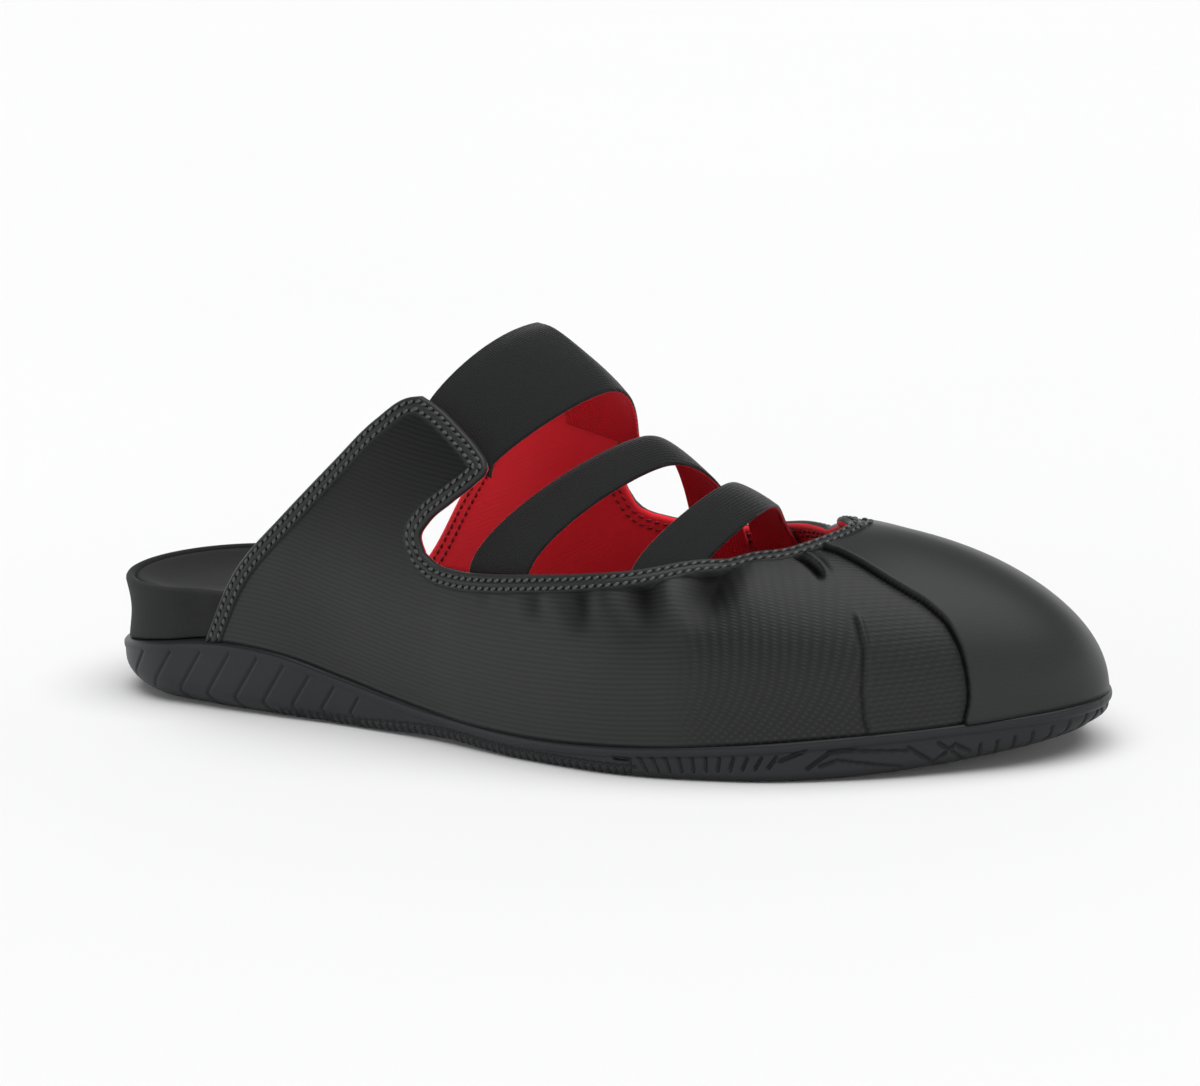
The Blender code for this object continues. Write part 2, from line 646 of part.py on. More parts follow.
def add(name, shape, finish, origin):
    """One object from points in millimetres, moved so that the origin is at zero."""
    points, faces = shape
    corners = [list(dict.fromkeys(face)) for face in outward(points, faces).tolist()]
    mesh = bpy.data.meshes.new(name)
    mesh.from_pydata(((points - origin) * MM).tolist(), [], corners)
    mesh.validate()
    mesh.shade_smooth()
    mesh.set_sharp_from_angle(angle=math.radians(35))
    mesh.materials.append(finish)
    piece = bpy.data.objects.new(name, mesh)
    bpy.context.scene.collection.objects.link(piece)
    return piece


def build():
    for old in list(bpy.data.objects):
        bpy.data.objects.remove(old, do_unlink=True)
    rubber = material("black_rubber", (0.012, 0.013, 0.014), 0.55)
    wrap = material("black_wrap_fabric", (0.014, 0.014, 0.014), 0.75)
    lining = material("charcoal_sock_fabric", (0.02, 0.02, 0.02), 0.8)
    satin = material("black_satin_twill", (0.013, 0.013, 0.013), 0.6)
    elastic = material("black_woven_elastic", (0.012, 0.012, 0.012), 0.8)
    pieces = [
        ("outsole", outsole(), rubber),
        ("midsole", midsole(), wrap),
        ("insole", insole(), lining),
        ("upper", upper(), satin),
    ]
    pieces += [(name, strap(stations, CREST_SHAPE[name]), elastic) for name, stations in STRAPS.items()]
    everything = np.concatenate([shape[0] for _, shape, _ in pieces])
    low, high = everything.min(axis=0), everything.max(axis=0)
    origin = np.array([0.5 * (low[0] + high[0]), 0.5 * (low[1] + high[1]), low[2]])
    for name, shape, finish in pieces:
        add(name, shape, finish, origin)


build()
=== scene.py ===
# %% [markdown]
# # Dressing a strap mule
# The object is a backless shoe: a rubber sole, a wrapped footbed with a sock on it, one satin
# upper with a scarlet lining, and three elastic straps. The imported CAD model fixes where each
# piece is. Here every piece gets the surface that the hand and the eye would find on it: rolled
# hems, pleats, gathers, rows of stitches, woven ribs and a moulded tread. The shapes could be
# sculpted by hand, but a shoe is drawn with a few tables of sizes, so they are worked out.

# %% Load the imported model
import math

import bpy
import numpy as np
from mathutils import Matrix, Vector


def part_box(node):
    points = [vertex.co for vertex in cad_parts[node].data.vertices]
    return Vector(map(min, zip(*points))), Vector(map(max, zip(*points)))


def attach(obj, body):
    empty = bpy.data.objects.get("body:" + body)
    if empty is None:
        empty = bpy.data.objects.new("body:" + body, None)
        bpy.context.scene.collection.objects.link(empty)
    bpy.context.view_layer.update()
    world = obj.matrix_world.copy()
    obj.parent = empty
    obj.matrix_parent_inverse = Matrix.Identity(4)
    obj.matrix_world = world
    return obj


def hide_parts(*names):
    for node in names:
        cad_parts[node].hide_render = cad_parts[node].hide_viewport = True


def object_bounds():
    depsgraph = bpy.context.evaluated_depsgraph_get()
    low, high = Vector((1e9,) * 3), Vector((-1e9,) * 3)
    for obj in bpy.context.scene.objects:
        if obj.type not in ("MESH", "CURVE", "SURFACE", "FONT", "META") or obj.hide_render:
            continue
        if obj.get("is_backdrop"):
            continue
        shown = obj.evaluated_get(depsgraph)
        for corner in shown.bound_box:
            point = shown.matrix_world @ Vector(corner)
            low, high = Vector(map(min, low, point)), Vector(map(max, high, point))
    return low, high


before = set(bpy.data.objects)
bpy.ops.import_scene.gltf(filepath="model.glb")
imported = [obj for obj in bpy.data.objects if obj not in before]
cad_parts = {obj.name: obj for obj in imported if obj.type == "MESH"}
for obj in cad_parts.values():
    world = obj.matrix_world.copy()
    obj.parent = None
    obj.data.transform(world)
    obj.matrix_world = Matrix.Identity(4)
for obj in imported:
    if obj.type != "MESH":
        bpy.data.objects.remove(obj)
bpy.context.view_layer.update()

# %% [markdown]
# ## The tables of the shoe
# A shoemaker draws every piece on a last. The same tables that shaped the solids are repeated
# here, so the dressed pieces land on them exactly. A place on the upper is a rib angle, 0 at
# the heel and 180 degrees at the toe tip with the lateral side first, and a girth, which is
# the length along that rib from the line where the upper meets the rubber. All in millimetres.

# %% Sizes
MM = 0.001
SOLE_LENGTH = 250.0
WALL = 1.8
CLEARANCE = 0.3
FEATHER_INSET = 0.6
HEEL_ROUND = 25.0
TOE_ROUND = 66.0
TOE_SPRING = 6.5
TOE_SPRING_START = 190.0
HEEL_LIFT = 2.5
HEEL_LIFT_END = 26.0
ARCH_RISE = 1.0
ARCH = (78.0, 130.0)
PIVOT_ALONG = 176.0
RIDGE_SLOPE = -0.12
print("sole length:", SOLE_LENGTH, "mm")


# %% Tables of the sole and the footbed
def table(names, *rows):
    """A table with named columns and a row for each section."""
    return {name: np.array([row[i] for row in rows], float) for i, name in enumerate(names.split())}


SOLE = table(
    "along  centre  half_width  rubber_top  corner  corner_in",
    (0.0, -1.3, 24.8, 11.4, 6.2, 9.5),
    (22.0, -1.2, 25.4, 15.0, 7.0, 8.0),
    (45.0, -1.6, 27.0, 16.7, 5.0, 5.0),
    (58.0, -2.4, 27.2, 15.6, 4.0, 4.0),
    (75.0, -3.6, 27.2, 11.9, 2.6, 2.6),
    (103.0, -6.8, 29.3, 7.2, 1.6, 1.6),
    (131.0, -7.2, 36.2, 5.9, 1.6, 1.6),
    (161.0, -3.4, 43.8, 7.1, 1.8, 1.8),
    (185.0, 1.0, 44.8, 8.7, 2.0, 2.0),
    (210.0, 4.3, 41.4, 10.4, 2.4, 2.8),
    (230.0, 6.0, 37.6, 11.6, 2.8, 3.6),
    (250.0, 6.4, 34.5, 12.6, 3.2, 4.4),
)
FOOTBED = table(
    "along  rim_height  recess  dish  lean",
    (0.0, 27.6, 4.2, 2.4, 0.0),
    (55.0, 27.2, 4.2, 2.4, 0.0),
    (80.0, 25.0, 3.8, 2.0, 0.0),
    (105.0, 20.5, 3.4, 1.6, 0.0),
    (130.0, 15.6, 3.0, 1.2, 0.0),
    (155.0, 13.2, 2.6, 0.9, 0.0),
    (180.0, 13.2, 2.4, 0.8, 0.3),
    (210.0, 15.0, 2.4, 0.8, 0.7),
    (250.0, 17.6, 2.4, 0.8, 1.0),
)
print("stations of the sole:", len(SOLE["along"]), "and of the footbed:", len(FOOTBED["along"]))

# %% Tables of the last
# A rib is a cubic curve from the rubber to the ridge. Out, rise and crown are its handles.
RIDGE = table(
    "along  across  height",
    (30.0, 0.0, 106.0),
    (60.0, 0.0, 105.0),
    (90.0, -1.0, 101.0),
    (108.0, -1.0, 92.0),
    (120.0, 0.0, 85.0),
    (133.0, 1.0, 76.0),
    (145.0, 1.0, 67.0),
    (160.0, -1.0, 57.5),
    (176.0, -3.0, 49.2),
)
RIBS = table(
    "along  lateral_out  lateral_rise  lateral_crown  medial_out  medial_rise  medial_crown",
    (30.0, 1.0, 40.0, 14.0, 1.0, 40.0, 14.0),
    (60.0, 2.0, 42.0, 16.0, 2.0, 42.0, 16.0),
    (90.0, 4.0, 44.0, 18.0, 4.0, 44.0, 18.0),
    (115.0, 5.5, 40.0, 22.0, 4.5, 40.0, 18.0),
    (135.0, 5.5, 34.0, 27.0, 4.5, 34.0, 20.0),
    (155.0, 5.0, 31.0, 31.0, 4.0, 29.0, 23.0),
    (176.0, 3.5, 28.0, 27.0, 3.0, 25.0, 17.0),
    (200.0, 2.0, 25.0, 29.0, 2.0, 22.0, 17.0),
    (225.0, 1.2, 23.0, 31.0, 1.2, 21.0, 22.0),
    (250.0, 0.6, 22.5, 32.0, 0.6, 22.5, 32.0),
)
print("stations of the ridge:", len(RIDGE["along"]), "and of the ribs:", len(RIBS["along"]))


# %% Read a table with a smooth curve
def smooth(x, xs, ys):
    """Cubic curve through a table's points, with each slope taken from its two neighbours."""
    step = np.diff(xs)
    chord = np.diff(ys) / step
    slope = np.concatenate([chord[:1], np.zeros(len(xs) - 2), chord[-1:]])
    slope[1:-1] = (chord[:-1] * step[1:] + chord[1:] * step[:-1]) / (step[:-1] + step[1:])
    x = np.clip(x, xs[0], xs[-1])
    i = np.clip(np.searchsorted(xs, x, side="right") - 1, 0, len(xs) - 2)
    t = (x - xs[i]) / step[i]
    start = (1 + 2 * t) * (1 - t) ** 2 * ys[i] + t * (1 - t) ** 2 * step[i] * slope[i]
    return start + t * t * (3 - 2 * t) * ys[i + 1] + t * t * (t - 1) * step[i] * slope[i + 1]


def read(rows, name, along):
    """A column of a table at any distance from the heel."""
    return smooth(np.asarray(along, float), rows["along"], rows[name])


def ease(x, low, high):
    """0 below low and 1 above high, with the soft step 3t^2 - 2t^3 between them."""
    t = np.clip((np.asarray(x, float) - low) / (high - low), 0, 1)
    return t * t * (3 - 2 * t)


def plateau(x, rise_from, rise_to, fall_from, fall_to):
    """A soft step up and a soft step down again: 1 between the two, 0 outside them."""
    return ease(x, rise_from, rise_to) * (1 - ease(x, fall_from, fall_to))


print("rubber height at the heel seat:", round(float(read(SOLE, "rubber_top", 45.0)), 2), "mm")


# %% The outline of the sole
TURN_STEP = 1e-3  # radians, for differences along the edge


def along_of(angle):
    """Distance from the back of the heel at a rib angle: half the length times 1 - cos."""
    return 0.5 * SOLE_LENGTH * (1 - np.cos(angle))


def angle_of(along, side):
    """Rib angle at a distance from the heel, on the lateral or the medial side."""
    angle = np.arccos(np.clip(1 - 2 * np.asarray(along, float) / SOLE_LENGTH, -1, 1))
    return angle if side == "lateral" else 2 * np.pi - angle


def outline_edge(angle):
    """The edge in plan: centre line minus or plus half the width, closed by two ellipse ends."""
    along = along_of(angle)
    heel = np.clip(1 - along / HEEL_ROUND, 0, 1)
    toe = np.clip(1 - (SOLE_LENGTH - along) / TOE_ROUND, 0, 1)
    rounding = np.sqrt(np.maximum(1 - heel ** 2, 0) * np.maximum(1 - toe ** 2, 0))
    half = read(SOLE, "half_width", along) * rounding
    return np.stack([along, read(SOLE, "centre", along) - np.sign(np.sin(angle)) * half], -1)


def unit(vectors):
    """Vectors divided by their own length."""
    return vectors / np.linalg.norm(vectors, axis=-1, keepdims=True)


def outline(angle, inset=0.0):
    """The edge moved inwards by an inset along its own normal in plan."""
    tangent = unit(outline_edge(angle + TURN_STEP) - outline_edge(angle - TURN_STEP))
    outward = np.stack([tangent[..., 1], -tangent[..., 0]], -1)
    return outline_edge(angle) - outward * np.asarray(inset)[..., None]


print("sole at the ball, in plan:", np.round(outline(np.radians([115, 245])), 1).tolist(), "mm")


# %% Heights of the sole
def rubber_top(along):
    """Height of the rubber's upper edge: the curve through its column of the sole's table."""
    return read(SOLE, "rubber_top", along)


def ground(along):
    """Height of the underside: flat at heel and ball, lifted at the arch and both ends."""
    toe = np.clip((along - TOE_SPRING_START) / (SOLE_LENGTH - TOE_SPRING_START), 0, 1)
    heel = np.clip(1 - along / HEEL_LIFT_END, 0, 1)
    arch = np.clip((along - ARCH[0]) / (ARCH[1] - ARCH[0]), 0, 1)
    return TOE_SPRING * toe ** 2 + HEEL_LIFT * heel ** 2 + ARCH_RISE * np.sin(np.pi * arch) ** 2


print("toe tip stands", ground(SOLE_LENGTH), "mm above the floor")


# %% Walks round the sole's edge
def run_along(points, axis=0):
    """Length along lines of points: 0 at the first point, then the running sum of the steps."""
    steps = np.linalg.norm(np.diff(points, axis=axis), axis=-1)
    start = np.zeros_like(np.take(steps, [0], axis=axis))
    return np.concatenate([start, np.cumsum(steps, axis=axis)], axis=axis)


TOE_INDEX = 4000
RING_ANGLES = np.linspace(0, 2 * np.pi, 2 * TOE_INDEX + 1)
RING_WALKS = run_along(outline_edge(RING_ANGLES))
AROUND = RING_WALKS[-1]
HALF_AROUND = RING_WALKS[TOE_INDEX]


def walk_of(angle):
    """Walk round the sole's edge from the middle of the heel, lateral side first."""
    return np.interp(angle, RING_ANGLES, RING_WALKS)


def angle_at(walk):
    """Rib angle at a walk round the edge: the same table of walks, read the other way."""
    return np.interp(walk, RING_WALKS, RING_ANGLES)


def even_walk(step):
    """Walks round the whole edge at an even step, with the same places on both sides."""
    lateral = np.linspace(0, HALF_AROUND, int(round(HALF_AROUND / step)) + 1)
    return np.concatenate([lateral, AROUND - lateral[-2:0:-1]])


print("walk round the sole's edge:", round(AROUND, 1), "mm")


# %% One rib of the last
def rib(angle):
    """A rib's foot in plan, its direction in plan, and the four points of its cubic curve."""
    along = along_of(angle)
    lateral = np.sin(angle) >= 0
    foot = outline(angle, FEATHER_INSET)
    base = rubber_top(foot[..., 0]) + CLEARANCE
    at = np.minimum(along, PIVOT_ALONG)
    top = read(RIDGE, "height", at)
    straight = along < PIVOT_ALONG
    head = np.stack([np.where(straight, foot[..., 0], PIVOT_ALONG), read(RIDGE, "across", at)], -1)
    reach = np.linalg.norm(head - foot, axis=-1)
    inward = (head - foot) / reach[..., None]
    out, rise, crown = (
        np.where(lateral, read(RIBS, "lateral_" + name, along), read(RIBS, "medial_" + name, along))
        for name in ("out", "rise", "crown"))
    slope = np.where(straight, 0.0, -RIDGE_SLOPE * inward[..., 0])
    points = (
        np.stack([0 * reach, base], -1),
        np.stack([-out, base + rise], -1),
        np.stack([reach - crown, top - slope * crown], -1),
        np.stack([reach, top], -1),
    )
    return foot, inward, points


print("rib over the toe ends", round(float(rib(np.array(np.pi))[2][3][1]), 1), "mm high")


# %% Lengths along a rib
def cubic(points, t):
    """Bezier curve: the four points weighted by the terms of (1 - t + t) cubed."""
    t = t[..., None]
    a, b, c, d = points
    return (1 - t) ** 3 * a + 3 * t * (1 - t) ** 2 * b + 3 * t * t * (1 - t) * c + t ** 3 * d


def cubic_speed(points, t):
    """Length of the curve's first derivative."""
    t = t[..., None]
    a, b, c, d = points
    change = 3 * (1 - t) ** 2 * (b - a) + 6 * t * (1 - t) * (c - b) + 3 * t * t * (d - c)
    return np.linalg.norm(change, axis=-1)


GAUSS_PLACES, GAUSS_WEIGHTS = np.polynomial.legendre.leggauss(10)


def curve_length(points, t):
    """Length of the cubic from its start to t, by Gauss quadrature."""
    places = 0.5 * t[..., None] * (GAUSS_PLACES + 1)
    speeds = cubic_speed([p[..., None, :] for p in points], places)
    return 0.5 * t * np.sum(speeds * GAUSS_WEIGHTS, -1)


def rib_length(angle):
    """Length of a whole rib, from the rubber to the ridge."""
    angle = np.asarray(angle, float)
    return curve_length(rib(angle)[2], np.ones_like(angle))


print("rib over the toe:", round(float(rib_length(np.pi)), 1), "mm long")

# %% Places on the last
NEWTON_STEPS = 5


def last_point(angle, girth):
    """The point of the last at a rib angle and a girth, found by Newton steps on the length."""
    angle, girth = np.broadcast_arrays(np.asarray(angle, float), np.asarray(girth, float))
    foot, inward, points = rib(angle)
    t = np.clip(girth / curve_length(points, np.ones_like(girth)), 0, 1)
    for _ in range(NEWTON_STEPS):
        short = girth - curve_length(points, t)
        t = np.clip(t + short / np.maximum(cubic_speed(points, t), 1e-6), 0, 1)
    flat = cubic(points, t)
    return np.concatenate([foot + inward * flat[..., :1], flat[..., 1:]], -1)


def last_normal(angle, girth):
    """Outward normal of the last: the cross product of two central differences."""
    turn, climb = 2e-3, 0.2
    across = last_point(angle + turn, girth) - last_point(angle - turn, girth)
    middle = np.clip(girth, climb, rib_length(angle) - climb)
    up = last_point(angle, middle + climb) - last_point(angle, middle - climb)
    return unit(np.cross(across, up))


print("tip of the toe at the rubber:", np.round(last_point(np.pi, 0.0), 1), "mm")

# %% [markdown]
# ## From tables to meshes
# A mesh could be edited point by point, but each surface here is a grid of places that numpy
# fills at once. A few helpers do the rest: they find where the shoe's own zero lies in the
# frame, turn grids and rings into faces, and put points, faces and finishes into an object.

# %% Where the shoe's zero lies in the frame
sole_low, sole_high = (np.array(corner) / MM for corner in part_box("outsole"))
edge_plan = outline_edge(RING_ANGLES)
edge_middle = 0.5 * (edge_plan.min(axis=0) + edge_plan.max(axis=0))
PLACE = np.append(0.5 * (sole_low + sole_high)[:2] - edge_middle, sole_low[2])
print("the back of the heel stands at", np.round(PLACE, 2), "mm")


# %% Faces between places
def grid_faces(shape, first=0):
    """Quads between neighbouring places of a grid."""
    index = first + np.arange(shape[0] * shape[1]).reshape(shape)
    return np.stack([index[:-1, :-1], index[1:, :-1], index[1:, 1:], index[:-1, 1:]], -1).reshape(-1, 4)


def rim_of(faces):
    """The edges that only one face uses, in the direction in which that face runs them."""
    edges = np.concatenate([faces[:, [k, (k + 1) % 4]] for k in range(4)])
    keys = np.sort(edges, axis=1).astype(np.int64)
    keys = keys[:, 0] * (keys.max() + 1) + keys[:, 1]
    _, index, counts = np.unique(keys, return_inverse=True, return_counts=True)
    return edges[counts[index.reshape(-1)] == 1]


def two_faces(outer, inner, quads):
    """A sheet with a wall: its outer face, its inner face turned round, and a strip at the rim.

    The third result is each face's finish: 1 for the inner face, 0 for the others.
    """
    shift = len(outer)
    rim = rim_of(quads)
    strip = np.stack([rim[:, 1], rim[:, 0], rim[:, 0] + shift, rim[:, 1] + shift], -1)
    chosen = np.repeat([0, 1, 0], [len(quads), len(quads), len(strip)])
    return np.concatenate([outer, inner]), np.concatenate([quads, quads[:, ::-1] + shift, strip]), chosen


def without_spares(points, faces):
    """The points that faces use, the faces renumbered to them, and which points were kept."""
    used = np.zeros(len(points), bool)
    used[faces.reshape(-1)] = True
    return points[used], (np.cumsum(used) - 1)[faces], used


print("a grid of 4 by 3 places has", len(grid_faces((4, 3))), "faces")


# %% Closed rings
def halves(ring):
    """The lateral and the medial half of a closed ring of indices, both from heel to toe."""
    half = len(ring) // 2 + 1
    return ring[:half], np.roll(ring[::-1], 1)[:half]


def closed_rings(rings, caps):
    """Quads between closed rings, and level strips across the rings named by their row in caps."""
    count = len(rings[0])
    faces = []
    for row in range(len(rings) - 1):
        lower = row * count + np.arange(count)
        upper = lower + count
        faces.append(np.stack([lower, np.roll(lower, -1), np.roll(upper, -1), upper], -1))
    for row, up in caps:
        lateral, medial = halves(row * count + np.arange(count))
        strip = np.stack([lateral[:-1], lateral[1:], medial[1:], medial[:-1]], -1)
        faces.append(strip if up else strip[:, ::-1])
    return np.concatenate(rings), np.concatenate(faces)


print("halves of a ring of 6:", [half.tolist() for half in halves(np.arange(6))])


# %% Steps that change
GRADED_PLACES = 4001  # where the running sum is taken


def spaced(x, step):
    """Places on x at a changing step: even shares of the running sum of 1 / step."""
    density = 1 / step
    total = np.concatenate([[0], np.cumsum(0.5 * (density[1:] + density[:-1]) * np.diff(x))])
    return np.interp(np.linspace(0, total[-1], int(round(total[-1])) + 1), total, x)


def graded(length, fine, coarse, reach):
    """Shares from 0 to 1 whose steps grow from fine at both ends to coarse past a reach."""
    x = np.linspace(0, length, GRADED_PLACES)
    near = np.minimum(x, length - x)
    return spaced(x, fine + (coarse - fine) * ease(near, 0.6 * reach, 2.0 * reach)) / length


print("places on a graded 50 mm:", len(graded(50, 0.3, 0.9, 5)))


# %% Put a mesh into the scene
def volume_of(points, faces):
    """Six times the volume of a closed shell: the sum of its corner tetrahedra."""
    a, b, c, d = (points[faces[:, k]] for k in range(4))
    return np.sum(a * (np.cross(b, c) + np.cross(c, d)))


def put_mesh(name, points, faces, materials, chosen=None, uv=None, values=None):
    """An object from points in shoe millimetres; a corner named twice makes a triangle."""
    if volume_of(points, faces) < 0:
        faces = faces[:, ::-1]
    kept = faces != np.roll(faces, -1, axis=1)
    sizes = kept.sum(axis=1)
    corners = faces[kept]
    mesh = bpy.data.meshes.new(name)
    mesh.vertices.add(len(points))
    mesh.vertices.foreach_set("co", ((points + PLACE) * MM).astype(np.float32).ravel())
    mesh.loops.add(len(corners))
    mesh.loops.foreach_set("vertex_index", corners.astype(np.int32))
    mesh.polygons.add(len(faces))
    mesh.polygons.foreach_set("loop_start", np.concatenate([[0], np.cumsum(sizes)[:-1]]).astype(np.int32))
    for material in materials:
        mesh.materials.append(material)
    if chosen is not None:
        mesh.polygons.foreach_set("material_index", chosen.astype(np.int32))
    if uv is not None:
        layer = mesh.uv_layers.new(name="cloth_mm")
        layer.data.foreach_set("uv", uv[corners].astype(np.float32).ravel())
    for key, amounts in (values or {}).items():
        mesh.attributes.new(key, "FLOAT", "POINT").data.foreach_set("value", amounts.astype(np.float32))
    mesh.update(calc_edges=True)
    mesh.shade_smooth()
    piece = bpy.data.objects.new(name, mesh)
    bpy.context.scene.collection.objects.link(piece)
    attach(piece, "root")
    print(name, "has", len(points), "points and", int((sizes - 2).sum()), "triangles")
    return piece


# %% Distance to a line
BLOCK = 3000  # points handled at once, to spare memory


def nearest_on(line, points):
    """Distance from each point to a line, and the share of its length at the nearest place.

    On each straight piece the nearest place is the point's projection, held between its ends.
    """
    line = np.asarray(line, np.float32)
    start, step = line[:-1], np.diff(line, axis=0)
    squared = np.maximum(np.sum(step * step, -1), 1e-9)
    run = np.concatenate([[0], np.cumsum(np.sqrt(squared))])
    gaps, shares = [], []
    for block in np.array_split(np.asarray(points, np.float32), len(points) // BLOCK + 1):
        t = np.clip(np.sum((block[:, None] - start) * step, -1) / squared, 0, 1)
        gap = np.linalg.norm(block[:, None] - start - t[..., None] * step, axis=-1)
        pick = gap.argmin(axis=1)
        rows = np.arange(len(block))
        gaps.append(gap[rows, pick])
        shares.append((run[pick] + t[rows, pick] * (run[pick + 1] - run[pick])) / run[-1])
    return np.concatenate(gaps).astype(float), np.concatenate(shares).astype(float)


print("place (5, 3) is", nearest_on([(0, 0), (10, 0)], [(5, 3)])[0][0], "from a line along the first axis")

# %% [markdown]
# ## The finishes
# Everything outside is black, so the finishes are told apart by gloss and grain: satin twill
# has fine ribs and a soft broad shine, woven elastic is matt with a bright grazing sheen,
# moulded rubber is smooth and cool grey, and brushed sock fabric drinks the light. A picture
# could be laid on each one, but a pattern of nodes stays sharp at any size. Each pattern is
# scaled from a real size, such as the thread spacing, in millimetres.

# %% Colours and scales
def colour(hexcode):
    """Linear colour from an sRGB hex value: a straight piece near black, a power of 2.4 above."""
    srgb = np.array([int(hexcode[i:i + 2], 16) for i in (1, 3, 5)]) / 255
    linear = np.where(srgb <= 0.04045, srgb / 12.92, ((srgb + 0.055) / 1.055) ** 2.4)
    return (*linear.tolist(), 1.0)


def wave_scale(pitch):
    """Scale of a Wave node, whose bands repeat every 2 pi / 20 units, for a pitch in units."""
    return 2 * math.pi / (20 * pitch)


def blot_scale(size):
    """Scale of a Noise node on Object coordinates, in metres, for blots of a size in millimetres."""
    return 1 / (size * MM)


print("mid grey #777777 is", round(colour("#777777")[0], 3), "in linear light")

# %% Nodes and finishes
# A Mix node for colours takes its two colours on sockets 6 and 7 and gives one on socket 2.
FIRST, SECOND, MIXED = 6, 7, 2


def add_node(tree, kind, inputs=None, **settings):
    """Adds a node, sets its properties, and fills or links its inputs by name or number."""
    made = tree.nodes.new("ShaderNode" + kind)
    for name, value in settings.items():
        setattr(made, name, value)
    for key, value in (inputs or {}).items():
        if isinstance(value, bpy.types.NodeSocket):
            tree.links.new(value, made.inputs[key])
        else:
            made.inputs[key].default_value = value
    return made


def new_finish(name, **constants):
    """A material with one Principled shader, and the constants set on the shader's sockets."""
    finish = bpy.data.materials.new(name)
    finish.use_nodes = True
    tree = finish.node_tree
    shader = tree.nodes["Principled BSDF"]
    for key, value in constants.items():
        shader.inputs[key.replace("_", " ")].default_value = value
    return finish, tree, shader


print("sockets of a colour mix:", FIRST, SECOND, MIXED)

# %% Black satin twill
# Woven polyester satin, pressed in manufacture: fine ribs run along the shoe, and a
# crossed twill shows round the ball. Real ones are about 0.4 mm apart; they are drawn coarser,
# because finer ones would not show. The eye gets a soft, broad shine with fine lines. Three
# attributes of the cloth steer it: how far ribs and twill show, and how much shade is painted on it.
RIB_PITCH = 1.15
TWILL_PITCH = 1.3
TWILL_LEAN = 38  # degrees
satin, tree, shader = new_finish(
    "black_satin_twill", Roughness=0.48, Sheen_Weight=0.05, Sheen_Roughness=0.35)
cloth = add_node(tree, "UVMap", uv_map="cloth_mm").outputs["UV"]
ribs = add_node(
    tree, "TexWave", {"Vector": cloth, "Scale": wave_scale(RIB_PITCH), "Distortion": 2.4, "Detail": 2.0,
                      "Detail Scale": 0.3}, wave_type="BANDS", bands_direction="Y")
crossings = []
for turn in (TWILL_LEAN, -TWILL_LEAN):
    turned = add_node(tree, "Mapping", {"Vector": cloth, "Rotation": (0, 0, math.radians(turn))})
    crossings.append(add_node(
        tree, "TexWave", {"Vector": turned.outputs[0], "Scale": wave_scale(TWILL_PITCH), "Distortion": 0.8,
                          "Detail": 1.0, "Detail Scale": 0.4},
        wave_type="BANDS", bands_direction="Y").outputs["Fac"])
twill = add_node(tree, "Math", {0: crossings[0], 1: crossings[1]}, operation="MULTIPLY")
valleys = 0.0
for pattern, share in ((ribs.outputs["Fac"], "ribs"), (twill.outputs[0], "twill")):
    shown = add_node(tree, "Attribute", attribute_name=share).outputs["Fac"]
    low = add_node(tree, "Math", {0: 1.0, 1: pattern}, operation="SUBTRACT").outputs[0]
    valleys = add_node(tree, "Math", {0: low, 1: shown, 2: valleys}, operation="MULTIPLY_ADD").outputs[0]
where = add_node(tree, "TexCoord").outputs["Object"]
grain = add_node(tree, "TexNoise", {"Vector": where, "Scale": blot_scale(0.625), "Detail": 2.0})
grain_height = add_node(tree, "Math", {0: grain.outputs["Fac"], 1: 0.35}, operation="MULTIPLY")
height = add_node(tree, "Math", {0: grain_height.outputs[0], 1: valleys}, operation="SUBTRACT")
bump = add_node(tree, "Bump", {"Height": height.outputs[0], "Strength": 0.5, "Distance": 0.07 * MM})
tree.links.new(bump.outputs["Normal"], shader.inputs["Normal"])
print(satin.name, "has ribs", RIB_PITCH, "mm apart and twill", TWILL_PITCH, "mm apart")

# %% Colour and gloss of the satin
# The dye is a little cloudy. Shade is painted in: the valleys between the threads are darker,
# and painted shade from the shade attribute is darker still and has hardly any gloss.
FLAT_GLOSS = 0.32
SHADED_GLOSS = 0.02
cloudy = add_node(
    tree, "TexNoise", {"Vector": where, "Scale": blot_scale(26.3), "Detail": 3.0, "Roughness": 0.6})
painted_shade = add_node(tree, "Attribute", attribute_name="shade").outputs["Fac"]
tone = colour("#1b1c1c")
for share, dye in ((cloudy.outputs["Fac"], "#242525"), (valleys, "#0d0e0e"), (painted_shade, "#020202")):
    tone = add_node(
        tree, "Mix", {"Factor": share, FIRST: tone, SECOND: colour(dye)}, data_type="RGBA").outputs[MIXED]
tree.links.new(tone, shader.inputs["Base Color"])
gloss = add_node(
    tree, "Math", {0: painted_shade, 1: SHADED_GLOSS - FLAT_GLOSS, 2: FLAT_GLOSS}, operation="MULTIPLY_ADD")
tree.links.new(gloss.outputs[0], shader.inputs["Specular IOR Level"])
print(satin.name, "has", len(tree.nodes), "nodes")

